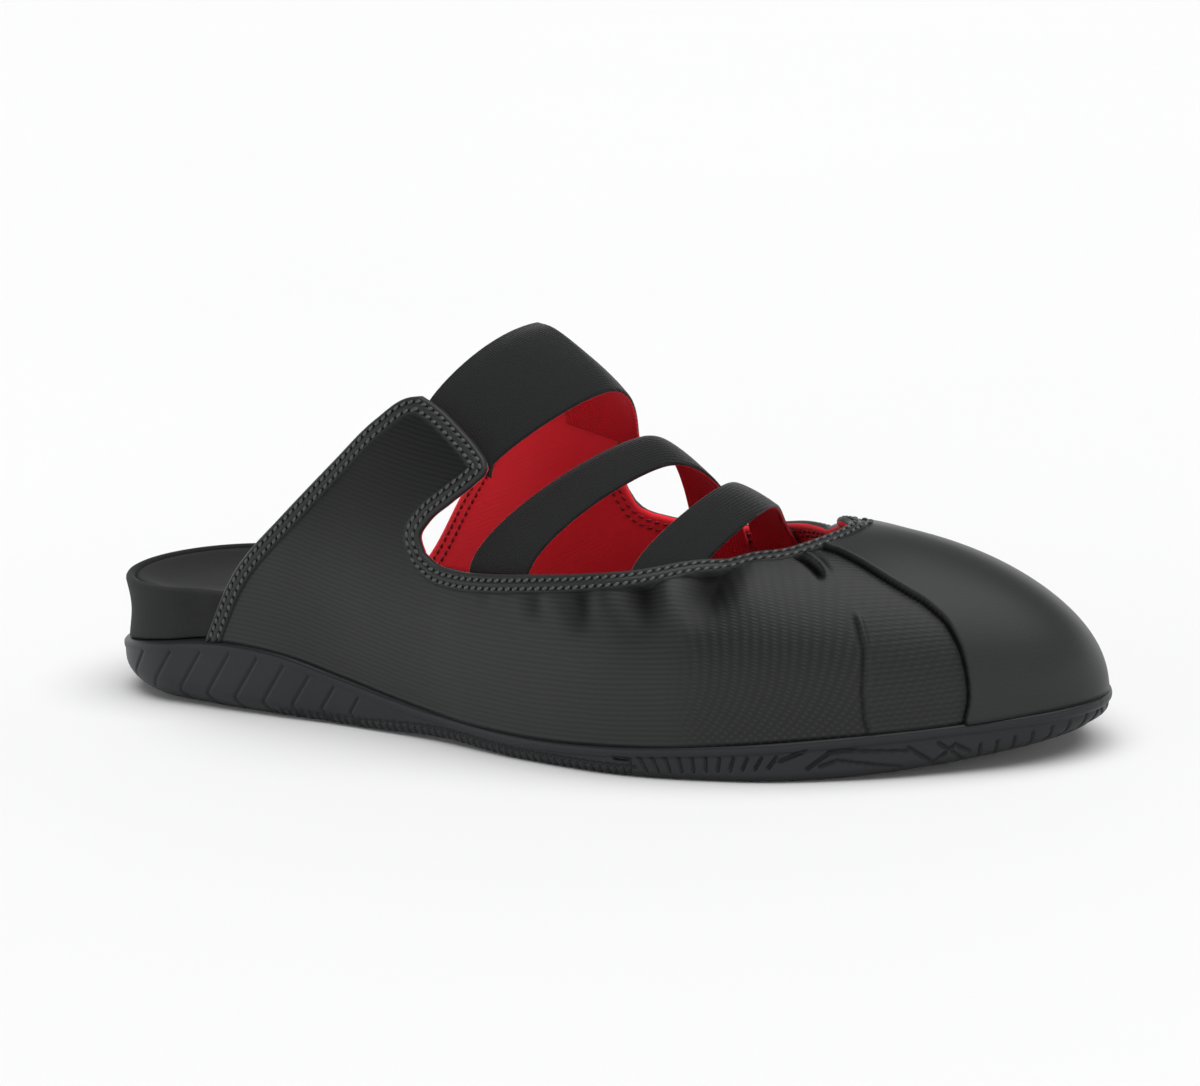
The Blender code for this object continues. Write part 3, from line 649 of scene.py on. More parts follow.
# %% Scarlet lining
# Brushed polyester lining, dyed scarlet: a dense matt nap with a faint diagonal line about
# 0.9 mm apart. Light that bounces between its walls makes the reds inside look warm.
LINING_PITCH = 0.9
LINING_LEAN = 30  # degrees
lining, tree, shader = new_finish(
    "scarlet_lining", Roughness=0.8, Specular_IOR_Level=0.3, Sheen_Weight=0.12, Sheen_Roughness=0.5)
cloth = add_node(tree, "UVMap", uv_map="cloth_mm").outputs["UV"]
turned = add_node(tree, "Mapping", {"Vector": cloth, "Rotation": (0, 0, math.radians(LINING_LEAN))})
lines = add_node(
    tree, "TexWave", {"Vector": turned.outputs[0], "Scale": wave_scale(LINING_PITCH), "Distortion": 1.5,
                      "Detail": 2.0}, wave_type="BANDS", bands_direction="Y")
where = add_node(tree, "TexCoord").outputs["Object"]
nap = add_node(tree, "TexNoise", {"Vector": where, "Scale": blot_scale(1.11), "Detail": 3.0})
height = add_node(
    tree, "Math", {0: lines.outputs["Fac"], 1: 0.4, 2: nap.outputs["Fac"]}, operation="MULTIPLY_ADD")
bump = add_node(tree, "Bump", {"Height": height.outputs[0], "Strength": 0.4, "Distance": 0.08 * MM})
tree.links.new(bump.outputs["Normal"], shader.inputs["Normal"])
cloudy = add_node(tree, "TexNoise", {"Vector": where, "Scale": blot_scale(16.7), "Detail": 2.0})
# Painted shade: the shade attribute darkens the lining low down, near the sole.
painted_shade = add_node(tree, "Attribute", attribute_name="shade")
tone = colour("#f0202f")
for share, dye in ((cloudy.outputs["Fac"], "#f92c3b"), (painted_shade.outputs["Fac"], "#7d0815")):
    tone = add_node(
        tree, "Mix", {"Factor": share, FIRST: tone, SECOND: colour(dye)}, data_type="RGBA").outputs[MIXED]
tree.links.new(tone, shader.inputs["Base Color"])
print(lining.name, "has", len(tree.nodes), "nodes")

# %% Woven elastic, black outside and scarlet beneath
# Knitted and woven elastic tape: covered rubber threads run the length of the band under a
# fine weft, so the face shows a grid 0.6 to 0.8 mm fine, dull from the front and pale at a
# grazing angle. Both faces are the same cloth in two dyes.
CORD_PITCH = 0.8
WEFT_PITCH = 0.62


def elastic_finish(name, low, high, sheen):
    """Two bands of waves multiplied into a grid, with fuzz, between a low and a high tone."""
    finish, tree, shader = new_finish(
        name, Roughness=0.8, Specular_IOR_Level=0.3, Sheen_Weight=sheen, Sheen_Roughness=0.3)
    cloth = add_node(tree, "UVMap", uv_map="cloth_mm").outputs["UV"]
    cords, wefts = (
        add_node(
            tree, "TexWave", {"Vector": cloth, "Scale": wave_scale(pitch), "Distortion": 1.6, "Detail": 2.0,
                              "Detail Scale": 0.8}, wave_type="BANDS", bands_direction=way)
        for way, pitch in (("X", CORD_PITCH), ("Y", WEFT_PITCH)))
    weave = add_node(tree, "Math", {0: cords.outputs["Fac"], 1: wefts.outputs["Fac"]}, operation="MULTIPLY")
    where = add_node(tree, "TexCoord").outputs["Object"]
    fuzz = add_node(tree, "TexNoise", {"Vector": where, "Scale": blot_scale(0.667), "Detail": 2.0})
    height = add_node(
        tree, "Math", {0: fuzz.outputs["Fac"], 1: 1.2, 2: weave.outputs[0]}, operation="MULTIPLY_ADD")
    bump = add_node(tree, "Bump", {"Height": height.outputs[0], "Strength": 0.7, "Distance": 0.12 * MM})
    tree.links.new(bump.outputs["Normal"], shader.inputs["Normal"])
    tone = add_node(
        tree, "Mix", {"Factor": weave.outputs[0], FIRST: colour(low), SECOND: colour(high)},
        data_type="RGBA")
    tree.links.new(tone.outputs[MIXED], shader.inputs["Base Color"])
    print(name, "has", len(tree.nodes), "nodes")
    return finish


elastic = elastic_finish("black_woven_elastic", "#060707", "#0e1112", 0.28)
elastic_back = elastic_finish("scarlet_woven_elastic", "#c41020", "#ee2636", 0.03)

# %% Sewing thread
# Bonded polyester thread, about 0.6 mm thick: smooth, hard and a little glossy, with the
# faint light and dark of its twist, about 0.4 mm long.
threads = []
for name, roughness, low, high in (("black_sewing_thread", 0.45, "#2c2e2e", "#464848"),
                                   ("scarlet_sewing_thread", 0.5, "#6d0813", "#a81a28")):
    finish, tree, shader = new_finish(name, Roughness=roughness)
    where = add_node(tree, "TexCoord").outputs["Object"]
    twist = add_node(tree, "TexNoise", {"Vector": where, "Scale": blot_scale(0.4)})
    tone = add_node(
        tree, "Mix", {"Factor": twist.outputs["Fac"], FIRST: colour(low), SECOND: colour(high)},
        data_type="RGBA")
    tree.links.new(tone.outputs[MIXED], shader.inputs["Base Color"])
    threads.append(finish)
black_thread, red_thread = threads
print("threads:", [finish.name for finish in threads])

# %% Moulded rubber
# Vulcanised rubber, moulded: a cool dark grey with a satin skin and a fine matt texture from the
# mould. Shade is painted into its grooves and along its foot under the forefoot. Its IOR is that of rubber,
# 1.52.
rubber, tree, shader = new_finish("moulded_black_rubber", Roughness=0.45, IOR=1.52, Specular_IOR_Level=0.3)
where = add_node(tree, "TexCoord").outputs["Object"]
skin = add_node(tree, "TexNoise", {"Vector": where, "Scale": blot_scale(0.714), "Detail": 2.0})
bump = add_node(tree, "Bump", {"Height": skin.outputs["Fac"], "Strength": 0.25, "Distance": 0.05 * MM})
tree.links.new(bump.outputs["Normal"], shader.inputs["Normal"])
cloudy = add_node(tree, "TexNoise", {"Vector": where, "Scale": blot_scale(22.2), "Detail": 3.0})
# Painted shade: the groove attribute darkens the grooves, the tread's valleys and the foot.
groove = add_node(tree, "Attribute", attribute_name="groove")
tone = colour("#131618")
for share, dye in ((cloudy.outputs["Fac"], "#1b1e21"), (groove.outputs["Fac"], "#050607")):
    tone = add_node(
        tree, "Mix", {"Factor": share, FIRST: tone, SECOND: colour(dye)}, data_type="RGBA").outputs[MIXED]
tree.links.new(tone, shader.inputs["Base Color"])
print(rubber.name, "has", len(tree.nodes), "nodes")


# %% Wrap and sock fabrics
# The footbed is wrapped in a thin matt fabric, and a brushed sock lies in it. Both scatter the
# light evenly; the sock's nap is coarser. The shade attribute paints shade on them at the foot
# of the wall, in the crease at the rim and along the sock's edge.
def brushed_finish(name, low, high, nap_size, nap_depth):
    """Fine nap times broad clouds, between a low and a high tone; both sizes in millimetres."""
    finish, tree, shader = new_finish(
        name, Roughness=0.85, Specular_IOR_Level=0.25, Sheen_Weight=0.03, Sheen_Roughness=0.6)
    where = add_node(tree, "TexCoord").outputs["Object"]
    nap = add_node(
        tree, "TexNoise", {"Vector": where, "Scale": blot_scale(nap_size), "Detail": 4.0, "Roughness": 0.65})
    bump = add_node(tree, "Bump", {"Height": nap.outputs["Fac"], "Strength": 0.5, "Distance": nap_depth * MM})
    tree.links.new(bump.outputs["Normal"], shader.inputs["Normal"])
    cloudy = add_node(tree, "TexNoise", {"Vector": where, "Scale": blot_scale(14.3), "Detail": 3.0})
    both = add_node(tree, "Math", {0: nap.outputs["Fac"], 1: cloudy.outputs["Fac"]}, operation="MULTIPLY")
    # Painted shade from the shade attribute, towards #0b0c0d.
    seam = add_node(tree, "Attribute", attribute_name="shade")
    tone = colour(low)
    for share, dye in ((both.outputs[0], high), (seam.outputs["Fac"], "#0b0c0d")):
        tone = add_node(
            tree, "Mix", {"Factor": share, FIRST: tone, SECOND: colour(dye)}, data_type="RGBA").outputs[MIXED]
    tree.links.new(tone, shader.inputs["Base Color"])
    print(name, "has", len(tree.nodes), "nodes")
    return finish


wrap = brushed_finish("black_wrap_fabric", "#1a1b1b", "#292b2a", nap_size=0.769, nap_depth=0.1)
sock = brushed_finish("charcoal_brushed_sock", "#131414", "#202121", nap_size=1.11, nap_depth=0.18)

# %% [markdown]
# ## The rubber sole
# The sole is one moulded cup. Its side carries thin slanted grooves round the heel, a low band
# of ticks along the arch, and small cuts under a rounded lip at the forefoot. A real mould has
# these cut into its wall, so they are made as relief here too: the side is a sheet whose two
# parameters are the walk round the edge and the height, and each groove is a stroke on it.

# %% Sizes of the side pattern
# A stroke runs from one place (along, height above the ground) to another, in millimetres.
HEEL_WALKS = np.arange(7.5, 100.0, 8.5)
HEEL_LEAN = 0.74
HOOKED_FROM = 4
ARCH_PITCH = 2.1
GROOVE_HALF, GROOVE_DEPTH = 0.38, 0.4
TICK_DEPTH = 0.5
FORE_HALF, FORE_DEPTH = 0.44, 0.65
FORE_BARS = 11
FORE_LINES = (
    ((156.5, 4.2), (160.5, 4.0), (160.5, 1.0)),
    ((194.5, 5.0), (200.0, 7.2)),
    ((200.0, 3.0), (204.5, 6.3), (207.5, 6.5), (220.5, 4.5), (224.0, 1.2), (228.0, 4.4), (230.5, 2.2)),
    ((202.5, 3.4), (206.0, 4.4), (214.0, 2.4), (218.0, 1.4)),
    ((219.5, 5.5), (223.5, 1.4)),
    ((225.0, 5.4), (229.5, 0.6)),
)
TOE_TICKS = (232.5, 235.5, 238.5, 241.5, 244.5, 247.0, 249.0, 249.9)
print("lines at the forefoot:", len(FORE_LINES), "bars:", FORE_BARS, "ticks:", len(TOE_TICKS))

# %% Walks and heights on the side
LATERAL_ANGLES, LATERAL_WALKS = RING_ANGLES[:TOE_INDEX + 1], RING_WALKS[:TOE_INDEX + 1]


def walk_along(along):
    """Walk round the lateral side to a distance from the heel."""
    return np.interp(along, along_of(LATERAL_ANGLES), LATERAL_WALKS)


def side_height(walk):
    """Height of the rubber above the ground at a walk round the lateral side."""
    along = along_of(np.interp(walk, LATERAL_WALKS, LATERAL_ANGLES))
    return rubber_top(along) - ground(along)


print("rubber on the side, 50 mm round:", round(float(side_height(50.0)), 1), "mm high")


# %% Work out the strokes
def fore_strokes():
    """The listed lines, a fan of bars that leans back more and more, and the toe's ticks."""
    bar = np.arange(FORE_BARS)
    bars = np.stack([163 + 3.1 * bar, 4.6 + 0.13 * bar, 164.6 + 2.75 * bar, 1.4 + 0.2 * bar], -1)
    ticks = [(top, 3.2, top - 0.5, 0.4) for top in TOE_TICKS]
    lines = [(*start, *end) for line in FORE_LINES for start, end in zip(line[:-1], line[1:])]
    strokes = np.concatenate([lines, bars, ticks])
    strokes[:, [0, 2]] = walk_along(strokes[:, [0, 2]])
    return strokes


def row_of_strokes(walk, high, reach, low):
    """A row of equal strokes, each from (walk, high) to (walk + reach, low)."""
    return np.stack([walk, 0 * walk + high, walk + reach, 0 * walk + low], -1)


def side_strokes():
    """All strokes as rows of walk, height, walk, height, half width and depth."""
    low = np.where(HEEL_WALKS < 20, 5.6, 3.6)
    high = np.maximum(side_height(HEEL_WALKS + 7) - 2.4, low + 1.5)
    lean = HEEL_LEAN * ease(HEEL_WALKS, 4, 16)
    slanted = np.stack([HEEL_WALKS, low, HEEL_WALKS + lean * (high - low), high], -1)
    hook_top = low[HOOKED_FROM:]
    hooks = row_of_strokes(HEEL_WALKS[HOOKED_FROM:], hook_top, 2.4, np.maximum(hook_top - 2.4, 0.9))
    dashes = row_of_strokes(np.arange(72.0, 178.0, ARCH_PITCH), 2.6, 1.3, 2.35)
    ticks = row_of_strokes(np.arange(70.0, 176.0, ARCH_PITCH), 1.9, 0.5, 0.5)
    groups = ((slanted, GROOVE_HALF, GROOVE_DEPTH), (hooks, GROOVE_HALF, GROOVE_DEPTH),
              (dashes, GROOVE_HALF, GROOVE_DEPTH), (ticks, GROOVE_HALF, TICK_DEPTH),
              (fore_strokes(), FORE_HALF, FORE_DEPTH))
    return np.concatenate([
        np.concatenate([group, np.tile([half, depth], (len(group), 1))], -1)
        for group, half, depth in groups])


STROKES = side_strokes()
print("strokes on each side:", len(STROKES))


# %% The side's relief
REACH = 1.5  # past a stroke's ends, farther than any half width
# The painted shade of a groove reaches a little past its lips.
SHADE_REACH = 1.45  # in half widths: the dark runs a little past a groove's lips


def relief(walk, height):
    """Depth of groove and share of painted shade at places of the side: the deepest stroke that crosses them.

    A stroke's section is a rounded V: its depth times 1 - (distance / half width)^2.
    """
    places = np.stack([np.minimum(walk, AROUND - walk), height], -1).reshape(-1, 2)
    deepest = np.zeros(len(places))
    share = np.zeros(len(places))
    for x0, y0, x1, y1, half, depth in STROKES:
        near = np.abs(places[:, 0] - 0.5 * (x0 + x1)) < 0.5 * abs(x1 - x0) + REACH
        some = places[near]
        run = np.array([x1 - x0, y1 - y0])
        t = np.clip((some - (x0, y0)) @ run / (run @ run), 0, 1)
        gap = np.linalg.norm(some - (x0, y0) - t[:, None] * run, axis=-1)
        cut = np.clip(1 - (gap / half) ** 2, 0, 1)
        deepest[near] = np.maximum(deepest[near], depth * cut)
        share[near] = np.maximum(share[near], np.clip(SHADE_REACH - gap / half, 0, 1))
    return deepest.reshape(walk.shape), share.reshape(walk.shape)


print("deepest stroke:", STROKES[:, 5].max(), "mm")

# %% Tread underneath
# The underside can't be seen when the shoe stands, so it gets a plain moulded tread of
# crosswise waves with a smooth patch under the arch.
TREAD_PITCH = 7.4
TREAD_DEPTH = 1.1
VALLEY_SHARE = 0.09
SMOOTH_PATCH = (74, 84, 118, 128)


def tread(along, across):
    """Depth of the tread: narrow valleys of a wave along the sole, bent by a wave across it."""
    phase = along / TREAD_PITCH + 0.22 * np.sin(across / 6.5)
    valley = np.clip(1 - np.abs((phase % 1) - 0.5) / VALLEY_SHARE, 0, 1)
    return TREAD_DEPTH * ease(valley, 0.0, 0.7) * (1 - plateau(along, *SMOOTH_PATCH))


def tread_shade(cut):
    """Share of painted shade in the tread's valleys, for a depth of the tread."""
    return cut / TREAD_DEPTH * 0.7


def shaded_foot(along, height):
    """Share of painted shade at the foot of the side under the ball and the toe."""
    return 0.9 * ease(along, 128, 158) * (1 - ease(height, 0.7, 2.0))


def lip_share(along):
    """1 under the forefoot, where the lip stands proud, and 0 round the heel."""
    return ease(along, 80, 105)


print("tread bars:", TREAD_PITCH, "mm apart,", TREAD_DEPTH, "mm deep")

# %% The rings of the outsole
LIP_HEIGHT = 2.3
SET_BACK = 0.8
TREAD_REACH = 13.0
SIDE_STEP = 0.31
SIDE_ROWS = 27
UNDER_ROWS = 11
TOP_EDGE = 0.25


def outsole_rings():
    """Rings from the middle of the underside, round the corner, up the side and over the lip.

    The corner is a quarter of an ellipse, and the lip over the side is half of one.
    """
    walk = even_walk(SIDE_STEP)
    angle = angle_at(walk)
    along = along_of(angle)
    low, top = ground(along), rubber_top(along)
    tall = top - low
    corner, corner_in = read(SOLE, "corner", along), read(SOLE, "corner_in", along)
    back = SET_BACK * lip_share(along)
    rings, cuts = [], []

    def add_ring(inset, height, cut):
        """One ring at an inset and a height, with its share of painted shade."""
        rings.append(np.concatenate([outline(angle, inset), height[:, None]], -1))
        cuts.append(cut)

    # Each ring carries painted shade for its grooves, the tread's valleys and the foot under the forefoot.
    for share in np.linspace(1, 0, UNDER_ROWS):
        inset = corner_in + back + (TREAD_REACH - corner_in - back) * share
        plan = outline(angle, inset)
        cut = tread(plan[:, 0], plan[:, 1]) * ease(inset - corner_in - back, 0.0, 3.0)
        add_ring(inset, ground(plan[:, 0]) + cut, np.maximum(tread_shade(cut), shaded_foot(along, 0 * along)))
    for share in np.linspace(0, 1, SIDE_ROWS)[1:]:
        height = share * (tall - TOP_EDGE)
        rounding = corner_in * (1 - np.sqrt(1 - (1 - np.clip(height / corner, 0, 1)) ** 2))
        depth, cut = relief(walk, height)
        bead = np.sqrt(np.clip(1 - ((height - tall + LIP_HEIGHT * 0.55) / (LIP_HEIGHT * 0.55)) ** 2, 0, 1))
        lip = back * (1 - np.where(height > tall - 1.15 * LIP_HEIGHT, bead, 0))
        cup = (1 - lip_share(along)) * (0.6 * ease(height, tall - 1.1, tall) ** 2
                                        - 0.25 * ease(height, tall - 2.6, tall - 1.6))
        add_ring(rounding + lip + depth + cup, low + height, np.maximum(cut, shaded_foot(along, height)))
    for inset, drop in ((0.35, 0.06), (0.9, 0.0), (3.0, 0.0)):
        add_ring(back * 0.9 + 0.5 + inset, top - drop, np.zeros(len(walk)))
    return np.array(rings), np.array(cuts)


rings, cuts = outsole_rings()
print("rings of the outsole:", len(rings), "with", rings.shape[1], "points each")

# %% The outsole mesh
# The rings leave a hole in the middle of the underside. Rows of points that run from heel to
# toe bridge it, from the lateral half of the first ring to its medial half.
BRIDGE = 14
lateral_ids, medial_ids = halves(np.arange(rings.shape[1]))
share = np.linspace(0, 1, BRIDGE)[1:-1][:, None, None]
bridge = (1 - share) * rings[0][lateral_ids] + share * rings[0][medial_ids]
bridge_cut = tread(bridge[..., 0], bridge[..., 1])
bridge[..., 2] = ground(bridge[..., 0]) + bridge_cut
bridge_cut[:, [0, -1]] = 0
points, faces = closed_rings(list(rings), ((len(rings) - 1, True),))
inside_ids = len(points) + np.arange(bridge_cut.size).reshape(bridge_cut.shape)
rows = np.concatenate([lateral_ids[None], inside_ids, medial_ids[None]])
rows[1:-1, [0, -1]] = rows[0, [0, -1]]
under = np.stack([rows[:-1, :-1], rows[1:, :-1], rows[1:, 1:], rows[:-1, 1:]], -1).reshape(-1, 4)
points = np.concatenate([points, bridge.reshape(-1, 3)])
points, faces, used = without_spares(points, np.concatenate([faces, under]))
# Painted shade in the grooves, the tread's valleys and along the foot under the forefoot.
groove_shade = np.concatenate([cuts.reshape(-1), tread_shade(bridge_cut).reshape(-1)])[used]
outsole = put_mesh("sole_rubber", points, faces, [rubber], values={"groove": 0.85 * groove_shade})
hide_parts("outsole")

# %% [markdown]
# ## The wrapped footbed and its sock
# Behind the upper the footbed shows: a wall of foam wrapped in matt fabric, hollowed at its
# waist, with a seam where it turns in at the rim. The sock lies inside the rim and dips
# towards the middle, as a heel presses it. Both are rings round the sole at an inset and a
# height, with a soft step in the height for the seam.

# %% Sizes of the footbed
# Each row of the rim is an inset from the wall, a drop below the rim's height and a share of painted shade.
MIDSOLE_INSET = FEATHER_INSET + WALL + CLEARANCE
RIM_WIDTH = 2.2
HEEL_SHOWN = 34.0
HEEL_BLEND = 9.0
HEEL_FLARE = 1.5
WAIST_DEPTH = 0.9
RIM_ROLL = 0.55
RIM_ROWS = ((0.95, -0.18, 0.0), (1.35, -0.22, 0.0), (1.7, -0.05, 0.35), (RIM_WIDTH, 0.3, 0.7))
RING_STEP = 1.0
WALL_ROWS = 30
print("footbed's wall starts", MIDSOLE_INSET, "mm inside the sole's edge")


# %% Heights and insets of the footbed
def rim_height(along):
    """Height of the footbed's rim: the curve through its column of the footbed's table."""
    return read(FOOTBED, "rim_height", along)


def recess_height(along):
    """Height of the floor inside the rim: the rim's height less the recess."""
    return rim_height(along) - read(FOOTBED, "recess", along)


def footbed_inset(angle):
    """Inside the upper's wall, and nearer the rubber's edge behind the heel, where it shows."""
    shown = np.clip((HEEL_SHOWN - along_of(angle)) / HEEL_BLEND, 0, 1)
    return MIDSOLE_INSET - HEEL_FLARE * shown ** 2 * (3 - 2 * shown)


def rim_inset(angle):
    """The wall of the footbed leans in at the toe, as the upper does above it."""
    return footbed_inset(angle) + read(FOOTBED, "lean", along_of(angle))


def ring_at(angle, inset, height):
    """A ring at an inset; the height is a function of the ring's own distance from the heel."""
    plan = outline(angle, inset)
    return np.concatenate([plan, height(plan[:, 0])[:, None]], -1)


angle = angle_at(even_walk(RING_STEP))
print("points round the footbed:", len(angle))

# %% The wrapped footbed
along = along_of(angle)
edge, rim = footbed_inset(angle), rim_inset(angle)
waist = WAIST_DEPTH * np.clip((rim_height(along) - rubber_top(along) - 6) / 5, 0, 1)
rings, shades = [], []
for share in np.linspace(0, 1, WALL_ROWS):
    hollow = np.sin(np.pi * min(share, 0.9999)) ** 1.3
    roll = RIM_ROLL * ease(share, 0.93, 1.0) ** 2
    rings.append(ring_at(
        angle, edge + share * (rim - edge) + hollow * waist + roll,
        lambda at: (1 - share) * (rubber_top(at) + CLEARANCE) + share * rim_height(at)))
    # The lowest row, next to the rubber, gets painted shade.
    shades.append(0.45 if share < 0.03 else 0.0)
for inset, drop, dark in RIM_ROWS:
    rings.append(ring_at(angle, rim + inset, lambda at: rim_height(at) - drop))
    shades.append(dark)
# The row where the rim meets the sock gets painted shade too.
rings.append(ring_at(angle, rim + RIM_WIDTH, recess_height))
shades.append(0.7)
points, faces = closed_rings(rings, ((0, False), (len(rings) - 1, True)))
footbed = put_mesh(
    "footbed_wrap", points, faces, [wrap], values={"shade": np.repeat(shades, len(angle))})
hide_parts("midsole")

# %% The sock
# Each row is an inset from the sock's edge, a drop below the rim, and a share of the dish.
SOCK_ROWS = ((0.0, 1.3, 0.0), (0.15, 0.85, 0.0), (0.5, 0.55, 0.0), (1.0, 0.45, 0.0), (1.8, 0.42, 0.08),
             (3.0, 0.4, 0.22), (5.0, 0.4, 0.5), (8.0, 0.4, 0.75), (11.0, 0.4, 0.9), (15.0, 0.4, 1.0))
edge = rim + RIM_WIDTH + CLEARANCE
rings = [ring_at(angle, edge, lambda at: recess_height(at) + CLEARANCE)]
for inset, drop, dished in SOCK_ROWS:
    rings.append(ring_at(
        angle, edge + inset, lambda at: rim_height(at) - drop - dished * read(FOOTBED, "dish", at)))
# Painted shade along the sock's edge, under the rim.
shades = [0.6, 0.5] + [0.0] * (len(rings) - 2)
points, faces = closed_rings(rings, ((0, False), (len(rings) - 1, True)))
insole = put_mesh("sock_lining", points, faces, [sock], values={"shade": np.repeat(shades, len(angle))})
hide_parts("insole")

# %% [markdown]
# ## The upper
# One cloth wraps the foot: two quarters with their tabs, and the vamp round the toe. It is
# satin outside and scarlet lining inside, rolled together at every open edge. Cloth could be
# simulated, but the pleats and gathers of this upper are sewn where they are, so they are
# placed one by one. The sheet is a grid of places (rib angle, girth); a field of heights along
# the last's normal then raises the hem, steps down behind each pleat and dents each gather.

# %% Edges of the upper
# Each edge is a smooth curve through the places given here.
EDGE_COLUMNS = "along  girth"
QUARTER_EDGES = {
    "lateral": {
        "back": table(
            EDGE_COLUMNS, (36, 0), (46, 17), (60.5, 33), (75, 50), (86, 62.5), (94, 69.5), (97.5, 70.8)),
        "top": table(
            EDGE_COLUMNS, (97.5, 70.8), (102, 69.6), (109, 66), (114.5, 62.3), (117, 59.9), (117.6, 58.4)),
        "notch": table(
            EDGE_COLUMNS, (117.6, 58.4), (117.2, 57), (115.3, 54.6), (109.3, 49), (103, 43), (101, 39.5),
            (102.5, 36.2)),
    },
    "medial": {
        "back": table(
            EDGE_COLUMNS, (57, 0), (68.5, 15.5), (77.5, 31), (88, 47), (98, 59.5), (104.5, 66.5),
            (107.5, 68)),
        "top": table(
            EDGE_COLUMNS, (107.5, 68), (112, 67), (119, 63.5), (124.8, 59.9), (127.3, 57.7), (127.9, 56.3)),
        "notch": table(
            EDGE_COLUMNS, (127.9, 56.3), (127.6, 55), (126.4, 52.8), (123.8, 48.6), (122.6, 45),
            (122, 42.5), (122.4, 41)),
    },
}
THROAT = table(
    "degrees  girth",
    (79.7, 36.2), (81.0, 34.8), (84.0, 34.3), (88.0, 35.0), (94.0, 36.6), (100.0, 38.0),
    (106.0, 40.0), (112.0, 44.6), (118.0, 46.9), (127.0, 47.5), (135.0, 51.1), (146.0, 57.5),
    (160.0, 65.9), (167.0, 69.1), (176.0, 72.0), (188.0, 73.4), (202.0, 71.1), (214.0, 66.4),
    (227.0, 58.6), (237.0, 51.6), (244.0, 45.3), (249.0, 39.8), (254.0, 34.9), (259.0, 32.5),
    (264.0, 33.3), (267.7, 34.8), (269.3, 35.8), (270.3, 37.2), (270.9, 39.2), (271.2, 41.0),
)
print("places on the throat line:", len(THROAT["girth"]))

# %% Pleats and gathers
# A pleat is a fold sewn down: a line of (degrees, girth) with cloth standing proud on its toe
# side. A gather is a dent that runs down from the hem: the degrees and girth of its two ends,
# its half width in millimetres and its strength.
MAIN_LATERAL = (
    (132.5, 48.5), (136.5, 47.5), (139.0, 45.5), (141.5, 41.0), (143.5, 36.0), (145.5, 32.0),
    (147.5, 28.5), (149.0, 23.0), (149.0, 16.5), (148.5, 10.5), (148.0, 5.0), (147.0, 0.0))
SHORT_LATERAL = (
    (126.5, 48.0), (128.0, 46.5), (129.5, 45.0), (131.0, 43.0), (132.0, 40.5), (132.5, 38.0),
    (132.5, 35.0))
LONG_LATERAL = ((135.0, 27.5), (135.0, 18.5), (134.0, 9.5), (134.0, 3.0), (134.5, 0.0))
MAIN_MEDIAL = (
    (222.5, 58.0), (218.5, 52.0), (215.5, 45.0), (213.5, 38.0), (212.0, 30.0), (211.5, 22.0),
    (212.0, 14.0), (213.0, 6.0), (214.0, 0.0))
RIDGE_MEDIAL = (
    (232.5, 52.0), (231.0, 45.0), (229.3, 38.0), (228.0, 30.0), (226.8, 22.0), (226.0, 12.0),
    (226.0, 0.0))
GATHERS = (
    (88.5, 33.0, 89.0, 26.0, 1.8, 0.15), (94.5, 33.5, 95.5, 25.0, 2.2, 0.35),
    (100.0, 35.5, 101.5, 23.0, 3.0, 0.65), (106.5, 38.5, 108.5, 22.0, 4.0, 0.95),
    (113.0, 41.5, 115.5, 23.5, 5.0, 1.0), (240.0, 43.5, 238.0, 31.0, 3.0, 0.6),
    (247.0, 38.0, 245.0, 27.0, 2.4, 0.5), (254.5, 33.0, 253.5, 25.0, 2.0, 0.35))
print("gathers under the throat:", len(GATHERS))


# %% Places along edges, and the grid between them
def edge_run(edge):
    """Length along the straight lines between a drawn edge's places, in (along, girth)."""
    return run_along(np.stack([edge["along"], edge["girth"]], -1))


def along_edge(edge, side, shares):
    """Places along a drawn edge at given shares of its length, as rib angles and girths."""
    run = edge_run(edge)
    along, girth = (smooth(shares * run[-1], run, edge[name]) for name in ("along", "girth"))
    return np.stack([angle_of(along, side), girth], -1)


def fill(bottom, top, left, right, across, up):
    """Grid inside four edges: the blend of facing edges, less the blend of the four corners."""
    u, v = across[:, None, None], up[None, :, None]
    sides = (1 - u) * left[None] + u * right[None]
    ends = (1 - v) * bottom[:, None] + v * top[:, None]
    corners = (1 - u) * ((1 - v) * bottom[0] + v * top[0]) + u * ((1 - v) * bottom[-1] + v * top[-1])
    return sides + ends - corners


print("length of the lateral notch:", round(float(edge_run(QUARTER_EDGES["lateral"]["notch"])[-1]), 1), "mm")

# %% Grids of the quarters and the vamp
HEM_STEPS = np.array([0, 0.1, 0.25, 0.45, 0.7, 0.95, 1.2, 1.45, 1.7, 1.95, 2.25, 2.6, 2.9, 3.1, 3.3, 3.5,
                      3.75, 4.0, 4.25, 4.6, 5.1, 5.8])
COARSE_ROWS = 60
FINE_STEP = 0.3
FINE_REACH = 5.5
QUARTER_WIDTH = 50.0
VAMP_PLACES = 6001
VAMP_STEP = 1.3
LATERAL_PLEATS = (124, 129, 150, 155)  # degrees
MEDIAL_PLEATS = (207, 211, 232, 237)


def girths_to(top):
    """Girths up a rib: even steps to the hem, then the hem's own fine steps to the edge."""
    even = np.linspace(0, 1, COARSE_ROWS)[:-1] * (top[..., None] - HEM_STEPS[-1])
    return np.concatenate([even, top[..., None] - HEM_STEPS[::-1]], -1)


